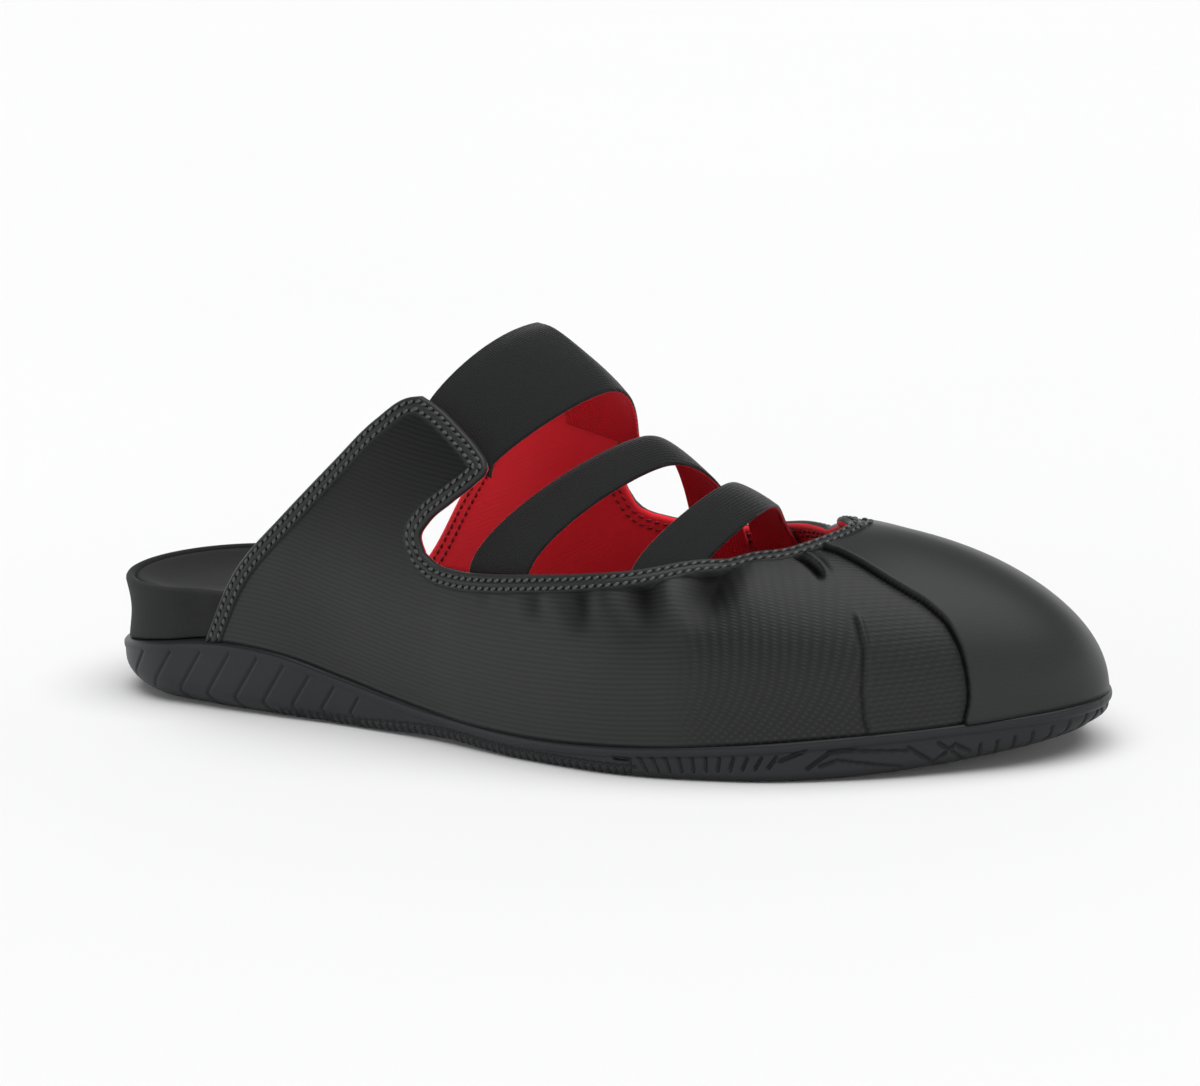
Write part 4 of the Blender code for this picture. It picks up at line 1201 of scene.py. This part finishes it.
def quarter_places(side):
    """The quarter behind the throat: from its back edge to the rib where the vamp begins."""
    edges = QUARTER_EDGES[side]
    notch_length = edge_run(edges["notch"])[-1]
    notch_shares = graded(notch_length, FINE_STEP, 0.8, FINE_REACH)
    notch = along_edge(edges["notch"], side, 1 - notch_shares)
    seam_angle, seam_top = notch[0]
    seam_girths = girths_to(np.array(seam_top))
    seam = np.stack([np.full(len(seam_girths), seam_angle), seam_girths], -1)
    right = np.concatenate([seam, notch[1:]])
    run = np.concatenate([seam_girths, seam_top + notch_shares[1:] * notch_length])
    up = run / run[-1]
    across = graded(QUARTER_WIDTH, FINE_STEP, 1.0, FINE_REACH)
    back = along_edge(edges["back"], side, up)
    top = along_edge(edges["top"], side, across)
    bottom = np.stack([back[0, 0] + across * (seam_angle - back[0, 0]), 0 * across], -1)
    return fill(bottom, top, back, right, across, up)


def vamp_places(start, end):
    """Whole ribs under the throat line, evenly spaced and closer where the pleats are."""
    walk = np.linspace(walk_of(start[0]), walk_of(end[0]), VAMP_PLACES)
    degrees = np.degrees(angle_at(walk))
    pleated = np.maximum(plateau(degrees, *LATERAL_PLEATS), 0.9 * plateau(degrees, *MEDIAL_PLEATS))
    angle = angle_at(spaced(walk, VAMP_STEP - 0.85 * pleated))
    girth = smooth(np.degrees(angle), THROAT["degrees"], THROAT["girth"])
    angle[[0, -1]] = start[0], end[0]
    girth[[0, -1]] = start[1], end[1]
    return np.stack(np.broadcast_arrays(angle[:, None], girths_to(girth)), -1)


lateral, medial = quarter_places("lateral"), quarter_places("medial")
seam_row = COARSE_ROWS + len(HEM_STEPS) - 2
vamp = vamp_places(lateral[-1, seam_row], medial[-1, seam_row])
print("grids of the quarters and the vamp:", lateral.shape[:2], medial.shape[:2], vamp.shape[:2])

# %% Join the grids into one sheet
# Two grids that meet at a seam share its places: those that agree to a ten-thousandth of a
# millimetre become one. The cloth's own coordinates are the walk along its weft and the girth.
SEAM_DECIMALS = 4
places, quads = [], []
for grid, turned in ((lateral, False), (vamp, False), (medial, True)):
    some = grid_faces(grid.shape[:2], sum(len(p) for p in places))
    quads.append(some[:, ::-1] if turned else some)
    places.append(grid.reshape(-1, 2))
places, quads = np.concatenate(places), np.concatenate(quads)
flat = last_point(places[:, 0], places[:, 1])
first_of_vamp = lateral[..., 0].size
sideways = run_along(flat[first_of_vamp:first_of_vamp + vamp[..., 0].size].reshape(*vamp.shape[:2], 3))
sideways -= sideways[int(np.argmin(np.abs(vamp[:, 0, 0] - np.pi)))]
weft = [sideways[0, 0] + walk_of(lateral[..., 0]) - walk_of(vamp[0, 0, 0]), sideways,
        sideways[-1, 0] + walk_of(medial[..., 0]) - walk_of(vamp[-1, 0, 0])]
cloth_uv = np.stack([np.concatenate([u.reshape(-1) for u in weft]), places[:, 1]], -1)
_, kept, joined = np.unique(np.round(flat, SEAM_DECIMALS), axis=0, return_index=True, return_inverse=True)
quads = joined.reshape(-1)[quads]
places, flat, cloth_uv = places[kept], flat[kept], cloth_uv[kept]
normals = last_normal(places[:, 0], places[:, 1])
print("places on the sheet:", len(places))


# %% The open edge as one line
def open_edge(steps_per_edge=90):
    """The edge from the lateral heel over both tabs and the throat, in rib angles and girths."""
    shares = np.linspace(0, 1, steps_per_edge)
    lateral, medial = (
        [along_edge(QUARTER_EDGES[side][name], side, shares) for name in ("back", "top", "notch")]
        for side in ("lateral", "medial"))
    degrees = np.linspace(THROAT["degrees"][0], THROAT["degrees"][-1], 3 * steps_per_edge)
    throat = np.stack([np.radians(degrees), smooth(degrees, THROAT["degrees"], THROAT["girth"])], -1)
    line = np.concatenate([*lateral, throat, *(part[::-1] for part in medial[::-1])])
    return line[np.concatenate([[True], np.linalg.norm(np.diff(line, axis=0), axis=1) > 1e-5])]


edge_line = open_edge()
edge_points = last_point(edge_line[:, 0], edge_line[:, 1])
to_edge, _ = nearest_on(edge_points, flat)
print("open edge:", round(float(run_along(edge_points)[-1])), "mm long")


# %% Lines of the folds
def resampled(line, count):
    """A line of places drawn with more points, evenly between its own."""
    at = np.linspace(0, len(line) - 1, count)
    return np.stack([np.interp(at, np.arange(len(line)), column) for column in line.T], -1)


def smoothed(line, rounds):
    """A line whose inner points are averaged with their neighbours, 1 : 2 : 1, round by round."""
    line = line.copy()
    for _ in range(rounds):
        line[1:-1] = (line[:-2] + 2 * line[1:-1] + line[2:]) / 4
    return line


def signed_from(line, toe_ahead):
    """Distance to a fold's line, positive on its toe side, and the share of its length.

    The toe side has the larger rib angles on the lateral side, where toe_ahead is true.
    """
    degrees, girths = np.array(line).T
    fine = smoothed(resampled(np.stack([np.radians(degrees), girths], -1), 160), 12)
    gap, share = nearest_on(last_point(fine[:, 0], fine[:, 1]), flat)
    order = np.argsort(fine[:, 1])
    ahead = places[:, 0] > np.interp(places[:, 1], fine[order, 1], fine[order, 0])
    return np.where(ahead == toe_ahead, gap, -gap), share


print("farthest place from the lateral pleat:", round(float(signed_from(MAIN_LATERAL, True)[0].min())), "mm")


# %% Formulas of the folds
def pleat(line, toe_ahead, rise, drop, reach, behind):
    """Height of a fold and the shade painted along it: e^(-s/reach) up on the toe side, a step down behind
    it.
    """
    s, share = signed_from(line, toe_ahead)
    ends = plateau(share, -0.02, 0.06, 0.985, 1.02)
    step = ease(s, -0.55, 0.35)
    up = rise * np.exp(-np.maximum(s, 0) / reach)
    down = -drop * np.exp(np.minimum(s, 0) / behind)
    dark = np.exp(-(np.abs(s + 0.4) / (0.55 - 0.2 * share)) ** 3)
    return ends * (step * up + (1 - step) * down), ends * dark


def seam_fold(line, toe_ahead, rise, drop, half, high_end=0.12, low_end=0.02, depth=1.0):
    """A narrow pleat: a trough half wide behind its line, with painted shade, and a thin round ridge before
    it.
    """
    s, share = signed_from(line, toe_ahead)
    ends = plateau(share, 0.0, high_end, 1 - low_end, 1.0)
    ridge = rise * np.exp(-((s - half) / (1.1 * half)) ** 2)
    trough = -drop * np.exp(-((s + 0.9 * half) / (0.85 * half)) ** 2)
    shadow = np.exp(-(np.abs(s + 0.9 * half) / (0.8 * half)) ** 2.5)
    # depth scales the shade painted in the trough, not how deep the trough is.
    return ends * (ridge + trough), depth * ends * shadow


def gather(degrees_top, girth_top, degrees_low, girth_low, half, strength):
    """A dent e^(-(gap/half)^2) along a line, which fades downwards, with a swelling beside it and painted
    shade in it.
    """
    line = last_point(np.linspace(*np.radians([degrees_top, degrees_low]), 24),
                      np.linspace(girth_top, girth_low, 24))
    gap, share = nearest_on(line, flat)
    fade = strength * (1 - ease(share, 0.3, 1.0))
    dent = np.exp(-(gap / half) ** 2)
    swell = np.exp(-((gap - 1.8 * half) / (0.8 * half)) ** 2)
    return fade * (0.4 * swell - 1.7 * dent), 0.85 * fade * dent


# %% Fold the cloth
PLEAT_SHAPE = {"rise": 1.15, "drop": 0.8, "reach": 6.0, "behind": 2.2}
folds = [
    pleat(MAIN_LATERAL, True, **PLEAT_SHAPE),
    pleat(MAIN_MEDIAL, False, **PLEAT_SHAPE),
    seam_fold(LONG_LATERAL, True, rise=0.55, drop=0.35, half=0.6, depth=0.5),
    seam_fold(SHORT_LATERAL, True, rise=0.8, drop=1.5, half=0.95, high_end=0.03, low_end=0.3),
    seam_fold(RIDGE_MEDIAL, False, rise=0.7, drop=0.45, half=0.7, depth=0.6),
    *(gather(*row) for row in GATHERS),
]
fold_height = np.sum([height for height, _ in folds], axis=0)
fold_shade = np.max([shade for _, shade in folds], axis=0)
print("folds:", len(folds), "with heights", np.round([fold_height.min(), fold_height.max()], 2), "mm")

# %% Heights of the outer face
# The hem is a raised band whose edge rolls over in a quarter circle, with a furrow under each
# row of stitches; it flattens at the throat's tip. Below it the folds and a soft unevenness
# show, and at the foot the cloth swells a little over the rubber.
HEM_WIDTH = 4.1
HEM_RISE = 0.5
HEM_SOFT = 0.35
ROLL = 1.1
STITCH_ROWS = (1.45, 3.3)
FURROW_HALF = 0.42
FURROW_DEPTH = 0.3
TIP_DEGREES = 190
TIP_SPREAD = 14
degrees, girths = np.degrees(places[:, 0]), places[:, 1]
band = 1 - ease(to_edge, HEM_WIDTH - HEM_SOFT, HEM_WIDTH + HEM_SOFT)
roll_drop = ROLL - np.sqrt(ROLL ** 2 - np.clip(ROLL - to_edge, 0, ROLL) ** 2)
furrow = np.max([np.exp(-((to_edge - row) / FURROW_HALF) ** 2) for row in STITCH_ROWS], axis=0)
tip = np.exp(-((degrees - TIP_DEGREES) / TIP_SPREAD) ** 2)
soft = 0.10 * np.sin(flat[:, 0] / 9.0 + flat[:, 2] / 6.0) + 0.07 * np.sin(flat[:, 0] / 5.3 - flat[:, 1] / 7.1)
outer_height = band * (HEM_RISE * (1 - 0.7 * tip) - FURROW_DEPTH * furrow) - roll_drop
outer_height += (1 - band) * (fold_height + soft) + 0.15 * np.exp(-girths / 0.8)
print("relief of the cloth:", np.round([outer_height.min(), outer_height.max()], 2), "mm")

# %% Shade, ribs and twill over the cloth
# The satin gets painted shade in the folds, up the quarters, along the hem's lower line and in
# the furrows. Ribs run everywhere, but give way to the twill between the gathers and the pleats.
quarter = ease(np.abs(180 - degrees), 85, 95)
shade = np.maximum(fold_shade, 0.5 * quarter * ease(girths, 18, 50))
shade = np.maximum((1 - band) * shade, 0.6 * np.exp(-((to_edge - HEM_WIDTH - 0.2) / 0.3) ** 2))
shade = np.maximum(shade, 0.9 * band * furrow ** 2)
lateral_half = degrees <= 180
toe_lateral, _ = signed_from(MAIN_LATERAL, True)
toe_medial, _ = signed_from(MAIN_MEDIAL, False)
toe_cap = ease(np.where(lateral_half, toe_lateral, toe_medial), -0.4, 0.4)
before_pleat = 1 - ease(degrees, 133.5, 135)
crossed = np.where(lateral_half, ease(degrees, 110, 117) * before_pleat, 1 - ease(degrees, 227, 229))
crossed *= 1 - toe_cap
ribs_shown = 0.62 * (1 - 0.85 * crossed) * (1 - 0.85 * toe_cap) * (1 - 0.8 * band)
beside_pleat = (1 - before_pleat) * lateral_half * (1 - toe_cap)
twill_shown = np.clip(0.95 * crossed + 0.5 * beside_pleat + 0.1 * toe_cap, 0, 1)
print("cloth with twill:", round(float(crossed.mean()), 2))

# %% The upper's mesh
# The outer foot reaches down to the rubber, so that no gap shows under the cloth.
FOOT_DROP = 0.35
inner_depth = WALL - roll_drop - 0.25 * (1 - band) * np.minimum(fold_height, 0)
outer = flat + normals * outer_height[:, None]
outer[:, 2] -= FOOT_DROP * np.exp(-girths / 0.4)
points, faces, chosen = two_faces(outer, flat - normals * inner_depth[:, None], quads)
# Painted shade low inside the lining, near the sole.
lining_shade = 0.5 * np.exp(-girths / 3.0)
upper = put_mesh(
    "upper_shell", points, faces, [satin, lining], chosen, uv=np.concatenate([cloth_uv, cloth_uv]),
    values={"ribs": np.tile(ribs_shown, 2), "twill": np.tile(twill_shown, 2),
            "shade": np.concatenate([shade, lining_shade])})
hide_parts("upper")

# %% [markdown]
# ## Stitches
# Two rows of lockstitch run inside every open edge. Seen close, each stitch is a short plump
# bead of thread, set a little askew. A bead is a ball stretched along the row; the rows are
# paths on the cloth at a fixed distance from its edge, and numpy sets hundreds of beads on
# them at once. The lining shows the same rows in scarlet thread.

# %% Paths beside the edge
STITCH_PITCH = 2.0
PATH_POINTS = 2400
SURFACE_STEP = 0.3


def beside_edge(distance):
    """The edge line moved into the cloth by a distance along the surface.

    The move is split into a turn and a climb, by solving two equations with the lengths and
    the angle of the surface's own two directions.
    """
    turn, climb = resampled(edge_line, PATH_POINTS).T
    place = last_point(turn, climb)
    by_turn = (last_point(turn + TURN_STEP, climb) - last_point(turn - TURN_STEP, climb)) / (2 * TURN_STEP)
    low = np.maximum(climb - SURFACE_STEP, 0)
    by_climb = (last_point(turn, climb) - last_point(turn, low)) / (climb - low + 1e-9)[:, None]
    foot = climb < SURFACE_STEP
    by_climb[foot] = (last_point(turn, climb + SURFACE_STEP) - place)[foot] / SURFACE_STEP
    ahead = unit(smoothed(np.gradient(place, axis=0), 10))
    inward = np.cross(ahead, unit(np.cross(by_turn, by_climb)))
    aa, ac, cc, ia, ic = (np.sum(p * q, -1) for p, q in (
        (by_turn, by_turn), (by_turn, by_climb), (by_climb, by_climb), (inward, by_turn),
        (inward, by_climb)))
    shares = np.stack([ia * cc - ic * ac, ic * aa - ia * ac], -1) / (aa * cc - ac * ac)[:, None]
    moved = np.stack([turn, climb], -1) + distance * shares
    gap, _ = nearest_on(edge_points, last_point(moved[:, 0], moved[:, 1]))
    return moved[(gap > 0.93 * distance) & (moved[:, 1] > 0.4)]


def bead_places(distance, pitch):
    """Evenly spaced places along a path beside the edge."""
    path = beside_edge(distance)
    run = run_along(last_point(path[:, 0], path[:, 1]))
    at = np.arange(0.5 * pitch, run[-1], pitch)
    return np.interp(at, run, path[:, 0]), np.interp(at, run, path[:, 1])


print("path beside the hem:", len(beside_edge(STITCH_ROWS[0])), "places")


# %% One bead for each stitch
def beads(spots, ahead, normal, half_sizes, skew):
    """Balls stretched to three half sizes along each bead's own axes, turned by a skew angle.

    A ball is rings of 8 points at 5 leans: (cos lean, sin lean cos turn, sin lean sin turn).
    """
    rounds, rows = 8, 5
    lean = np.linspace(0, np.pi, rows)[:, None]
    turn = np.linspace(0, 2 * np.pi, rounds, endpoint=False)[None]
    ball = np.broadcast_arrays(np.cos(lean), np.sin(lean) * np.cos(turn), np.sin(lean) * np.sin(turn))
    ball = np.stack(ball, -1).reshape(-1, 3) * half_sizes
    aside = unit(np.cross(normal, ahead))
    way = np.cos(skew) * np.cross(aside, normal) + np.sin(skew) * aside
    axes = np.stack([way, np.cross(normal, way), normal], 1)
    index = np.arange(rows * rounds).reshape(rows, rounds)
    index[0], index[-1] = index[0, 0], index[-1, 0]
    after = np.roll(index, -1, 1)
    one = np.stack([index[:-1], after[:-1], after[1:], index[1:]], -1).reshape(-1, 4)
    faces = (one[None] + (np.arange(len(spots)) * rows * rounds)[:, None, None]).reshape(-1, 4)
    return without_spares((spots[:, None] + ball @ axes).reshape(-1, 3), faces)[:2]


# %% Rows of stitches
def stitch_row(distance, height, half_sizes, skew):
    """Beads a stitch apart on the path at a distance from the edge, at a height on the last."""
    turn, girth = bead_places(distance, STITCH_PITCH)
    normal = last_normal(turn, girth)
    spots = last_point(turn, girth)
    return beads(spots + normal * height, np.gradient(spots, axis=0), normal, half_sizes, skew)


def together(parts):
    """Several meshes as one list of points and one of faces."""
    starts = np.concatenate([[0], np.cumsum([len(p) for p, _ in parts])[:-1]])
    return np.concatenate([p for p, _ in parts]), np.concatenate([f + s for (_, f), s in zip(parts, starts)])


for name, finish, shift, height, half_sizes, skew in (
        ("hem_stitches", black_thread, 0.0, HEM_RISE - 0.12, (0.78, 0.44, 0.36), 20),
        ("lining_stitches", red_thread, 0.3, -WALL - 0.05, (0.78, 0.42, 0.34), -15)):
    rows = [stitch_row(row + shift, height, half_sizes, math.radians(skew)) for row in STITCH_ROWS]
    stitches = put_mesh(name, *together(rows), [finish])

# %% [markdown]
# ## The elastic straps
# Three bands of woven elastic hold the foot. Each leaves the inner face of the upper, climbs
# over the instep and comes down inside the other edge. A cloth tape could be bent by a curve
# modifier, but its two ends sit on slanted edges, so each line across its width has its own
# path: straight up the wall, then a cubic to the crest, then down again. The edges of the tape
# are rounded by lowering both faces towards the middle there.

# %% Sizes of the straps
STRAP_THICKNESS = 1.3
STRAP_CLEARANCE = 0.6
STRAP_WIDTH = 20.0  # for the spacing of its lines only
ARCH_WAY = np.array([0.57, 0.0, 0.82])
CREST_SHAPE = {
    "instep_strap": {"arch": 1.75, "power": 2.8, "crest_share": 0.5, "climb_share": 0.06},
    "strap_mid": {"arch": 1.2, "power": 2.0, "crest_share": 0.42, "climb_share": 0.18},
    "strap_front": {"arch": 0.4, "power": 2.0, "crest_share": 0.42, "climb_share": 0.18},
}
STRAP_COLUMNS = (
    "lateral_along  lateral_girth  lateral_tuck  crest_along  crest_across  crest_height"
    "  medial_along  medial_girth  medial_tuck")
STRAPS = {
    "instep_strap": table(
        STRAP_COLUMNS,
        (97.6, 69.0, 8.0, 108.5, 10.4, 89.2, 111.4, 66.4, 8.0),
        (117.6, 59.8, 3.0, 134.8, -3.2, 76.3, 129.9, 57.1, 3.0),
    ),
    "strap_mid": table(
        STRAP_COLUMNS,
        (114.0, 34.6, 8.0, 139.8, 2.2, 65.7, 137.0, 33.2, 8.0),
        (131.0, 36.0, 8.0, 149.1, -3.6, 60.1, 149.3, 32.3, 8.0),
    ),
    "strap_front": table(
        STRAP_COLUMNS,
        (157.0, 40.2, 8.0, 163.1, -3.8, 56.8, 150.8, 32.6, 8.0),
        (171.5, 44.4, 8.0, 173.0, -2.2, 51.1, 163.4, 36.6, 8.0),
    ),
}
print("straps:", list(STRAPS))


# %% Paths of the straps
def on_last(angle, girth, depth):
    """A point under the last: its surface less the normal times the depth."""
    return last_point(angle, girth) - last_normal(angle, girth) * depth


def strap_sheet(edges, columns, arch, power, crest_share, climb_share, rows=56, tuck_rows=14):
    """The outer face of a strap: lines across its width, each from one tucked end to the other.

    At the share s of the width the crest stands out by arch (1 - |2 s - 1|^power), forwards
    and up, and its back edge dips a little.
    """
    share = columns[:, None]
    line = {name: (1 - share) * pair[0] + share * pair[1] for name, pair in edges.items()}
    crest = np.concatenate([line["crest_along"], line["crest_across"], line["crest_height"]], -1)
    crest = crest + arch * (1 - np.abs(2 * share - 1) ** power) * ARCH_WAY
    crest[..., 2] -= 0.45 * arch * np.exp(-(columns / 0.12) ** 2)
    tucks, spans = [], []
    for side in ("lateral", "medial"):
        girth = line[side + "_girth"] - line[side + "_tuck"] * np.linspace(1, 0, tuck_rows)
        angle, girth = np.broadcast_arrays(angle_of(line[side + "_along"], side), girth)
        tuck = on_last(angle, girth, WALL + STRAP_CLEARANCE)
        tucks.append(tuck)
        edge = tuck[:, -1]
        climb = unit(edge - tuck[:, -2])
        reach = np.linalg.norm(crest - edge, axis=-1, keepdims=True)
        spans.append((edge, edge + climb_share * reach * climb))
    direction = spans[1][0] - spans[0][0]
    direction[:, 2] = 0
    direction = unit(direction)
    lines = []
    for (edge, first), way in zip(spans, (-1, 1)):
        second = crest + way * crest_share * np.abs(edge - crest)[:, 1:2] * direction
        handles = [point[:, None] for point in (edge, first, second, crest)]
        lines.append(cubic(handles, np.linspace(0, 1, rows)[None]))
    return np.concatenate(
        [tucks[0][:, :-1], lines[0][:, :-1], lines[1][:, ::-1], tucks[1][:, -2::-1]], axis=1)


# %% The strap meshes
def strap_shell(edges, shape):
    """Two faces a thickness apart; each falls to the middle in a quarter circle at the edges."""
    sheet = strap_sheet(edges, graded(STRAP_WIDTH, 0.12, 0.9, 0.7), **shape)
    middle = sheet.shape[1] // 2
    normal = unit(np.cross(np.gradient(sheet, axis=1), np.gradient(sheet, axis=0)))
    normal *= np.sign(normal[len(sheet) // 2, middle, 2])
    from_edge = np.minimum(
        np.linalg.norm(sheet - sheet[:1], axis=-1), np.linalg.norm(sheet - sheet[-1:], axis=-1))
    half = 0.5 * STRAP_THICKNESS
    fall = half - np.sqrt(half ** 2 - np.clip(half - from_edge, 0, half) ** 2)
    outer = sheet - normal * fall[..., None]
    inner = sheet - normal * (STRAP_THICKNESS - fall)[..., None]
    length = run_along(sheet, axis=1)
    uv = np.stack([run_along(sheet), length - length[:, middle][:, None]], -1).reshape(-1, 2)
    points, faces, chosen = two_faces(outer.reshape(-1, 3), inner.reshape(-1, 3), grid_faces(sheet.shape[:2]))
    return points, faces, chosen, np.concatenate([uv, uv])


for name, edges in STRAPS.items():
    points, faces, chosen, uv = strap_shell(edges, CREST_SHAPE[name])
    strap = put_mesh(name + "_woven", points, faces, [elastic, elastic_back], chosen, uv)
    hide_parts(name)

# %% [markdown]
# ## Light, floor and camera
# Small dark goods are shown on a white sweep under a big soft box. A sun with a very wide
# angle stands for the soft box, a dim sky fills the sides, and a band of white at the horizon
# closes the room behind the floor. The camera stands low beside the toe with a long lens.

# %% Floor
# A round sheet of matt white paper, far wider than the view, with very faint clouds.
FLOOR_RADIUS = 12.0
FLOOR_SIDES = 96
FLOOR_RINGS = 6
floor_finish, tree, shader = new_finish("pale_matt_floor", Roughness=0.9, Specular_IOR_Level=0.1)
where = add_node(tree, "TexCoord").outputs["Object"]
clouds = add_node(tree, "TexNoise", {"Vector": where, "Scale": blot_scale(333)})
tone = add_node(
    tree, "Mix", {"Factor": clouds.outputs["Fac"], FIRST: colour("#e9e9e9"), SECOND: colour("#ebebeb")},
    data_type="RGBA")
tree.links.new(tone.outputs[MIXED], shader.inputs["Base Color"])
turn = np.linspace(0, 2 * np.pi, FLOOR_SIDES, endpoint=False)
reach = FLOOR_RADIUS * np.linspace(0, 1, FLOOR_RINGS + 1)[1:, None] ** 2
disc = np.stack(np.broadcast_arrays(reach * np.cos(turn), reach * np.sin(turn), 0.0), -1)
index = np.arange(FLOOR_RINGS * FLOOR_SIDES).reshape(FLOOR_RINGS, FLOOR_SIDES)
after = np.roll(index, -1, 1)
ring_quads = np.stack([index[:-1], index[1:], after[1:], after[:-1]], -1)
floor_mesh = bpy.data.meshes.new("floor")
floor_mesh.from_pydata(
    disc.reshape(-1, 3).tolist(), [], ring_quads.reshape(-1, 4).tolist() + [index[0].tolist()])
floor_mesh.materials.append(floor_finish)
floor = bpy.data.objects.new("floor", floor_mesh)
bpy.context.scene.collection.objects.link(floor)
floor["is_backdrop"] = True
print("floor reaches", FLOOR_RADIUS, "m")

# %% Light
# The sky is bright at the horizon, up to a direction 0.12 high, and dark above 0.5.
HORIZON_TONE = (1.7, 1.7, 1.7, 1.0)
ZENITH_TONE = (0.06, 0.06, 0.062, 1.0)
HORIZON_TOP = 0.12
ZENITH_START = 0.5
SOFTBOX_ENERGY = 3.1
SOFTBOX_ANGLE = 75  # degrees
SOFTBOX_TURN = (3, 10, 0)  # degrees about x, y and z
scene = bpy.context.scene
scene.view_settings.view_transform = "Standard"
scene.view_settings.look = "None"
sky = bpy.data.worlds.new("white_room")
scene.world = sky
sky.use_nodes = True
tree = sky.node_tree
direction = add_node(tree, "TexCoord").outputs["Generated"]
climb = add_node(tree, "SeparateXYZ", {0: direction}).outputs["Z"]
above = add_node(
    tree, "MapRange", {"Value": climb, 1: HORIZON_TOP, 2: ZENITH_START}, interpolation_type="SMOOTHSTEP")
sky_tone = add_node(
    tree, "Mix", {"Factor": above.outputs[0], FIRST: HORIZON_TONE, SECOND: ZENITH_TONE}, data_type="RGBA")
tree.links.new(sky_tone.outputs[MIXED], tree.nodes["Background"].inputs["Color"])
softbox = bpy.data.lights.new("softbox", "SUN")
softbox.energy = SOFTBOX_ENERGY
softbox.angle = math.radians(SOFTBOX_ANGLE)
softbox_object = bpy.data.objects.new("softbox", softbox)
softbox_object.rotation_euler = np.radians(SOFTBOX_TURN).tolist()
scene.collection.objects.link(softbox_object)
print("softbox angle:", SOFTBOX_ANGLE, "degrees")

# %% Camera
# Its stand is given from the shoe's zero, to the right, up and back, in millimetres. From
# there it looks at a point just before and below the middle of the shoe.
VIEW_TURN = 29.026
VIEW_RISE = 9.27
VIEW_ROLL = -3.178
VIEW_OFFSET = (140.12, 106.13, 1180.0)
LENS = 147.0
SENSOR = 36.0
TARGET_SHIFT = (0.004, 0.0, -0.004)  # metres


def view_axes(turn, rise, roll):
    """Right, up and back of a camera from its turn, rise and roll in degrees.

    Back is the unit vector at the turn and rise; right is level, up is their cross product,
    and the roll turns right and up about back.
    """
    a, e, q = np.radians([turn, rise, roll])
    back = np.array([np.sin(a) * np.cos(e), -np.cos(a) * np.cos(e), np.sin(e)])
    right = np.array([np.cos(a), np.sin(a), 0])
    up = np.cross(back, right)
    return right * np.cos(q) + up * np.sin(q), up * np.cos(q) - right * np.sin(q), back


right, up, back = view_axes(VIEW_TURN, VIEW_RISE, VIEW_ROLL)
stand = (right * VIEW_OFFSET[0] + up * VIEW_OFFSET[1] + back * VIEW_OFFSET[2] + PLACE) * MM
shoe_low, shoe_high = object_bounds()
target = 0.5 * (np.array(shoe_low) + np.array(shoe_high)) + TARGET_SHIFT
aim = unit(stand - target)
rise = math.degrees(math.asin(aim[2]))
turn = math.degrees(math.atan2(aim[0], -aim[1]))
right, up, back = view_axes(turn, rise, VIEW_ROLL)
camera_data = bpy.data.cameras.new("camera")
camera_data.sensor_width = SENSOR
camera_data.lens = LENS
camera_data.clip_start = 0.05
camera_data.clip_end = 60.0
camera = bpy.data.objects.new("camera", camera_data)
scene.collection.objects.link(camera)
axes = Matrix([[*row] for row in np.stack([right, up, back], -1).tolist()]).to_4x4()
axes.translation = stand.tolist()
camera.matrix_world = axes
scene.camera = camera
print("camera stands at", np.round(stand, 3), "turn", round(turn, 2), "rise", round(rise, 2))
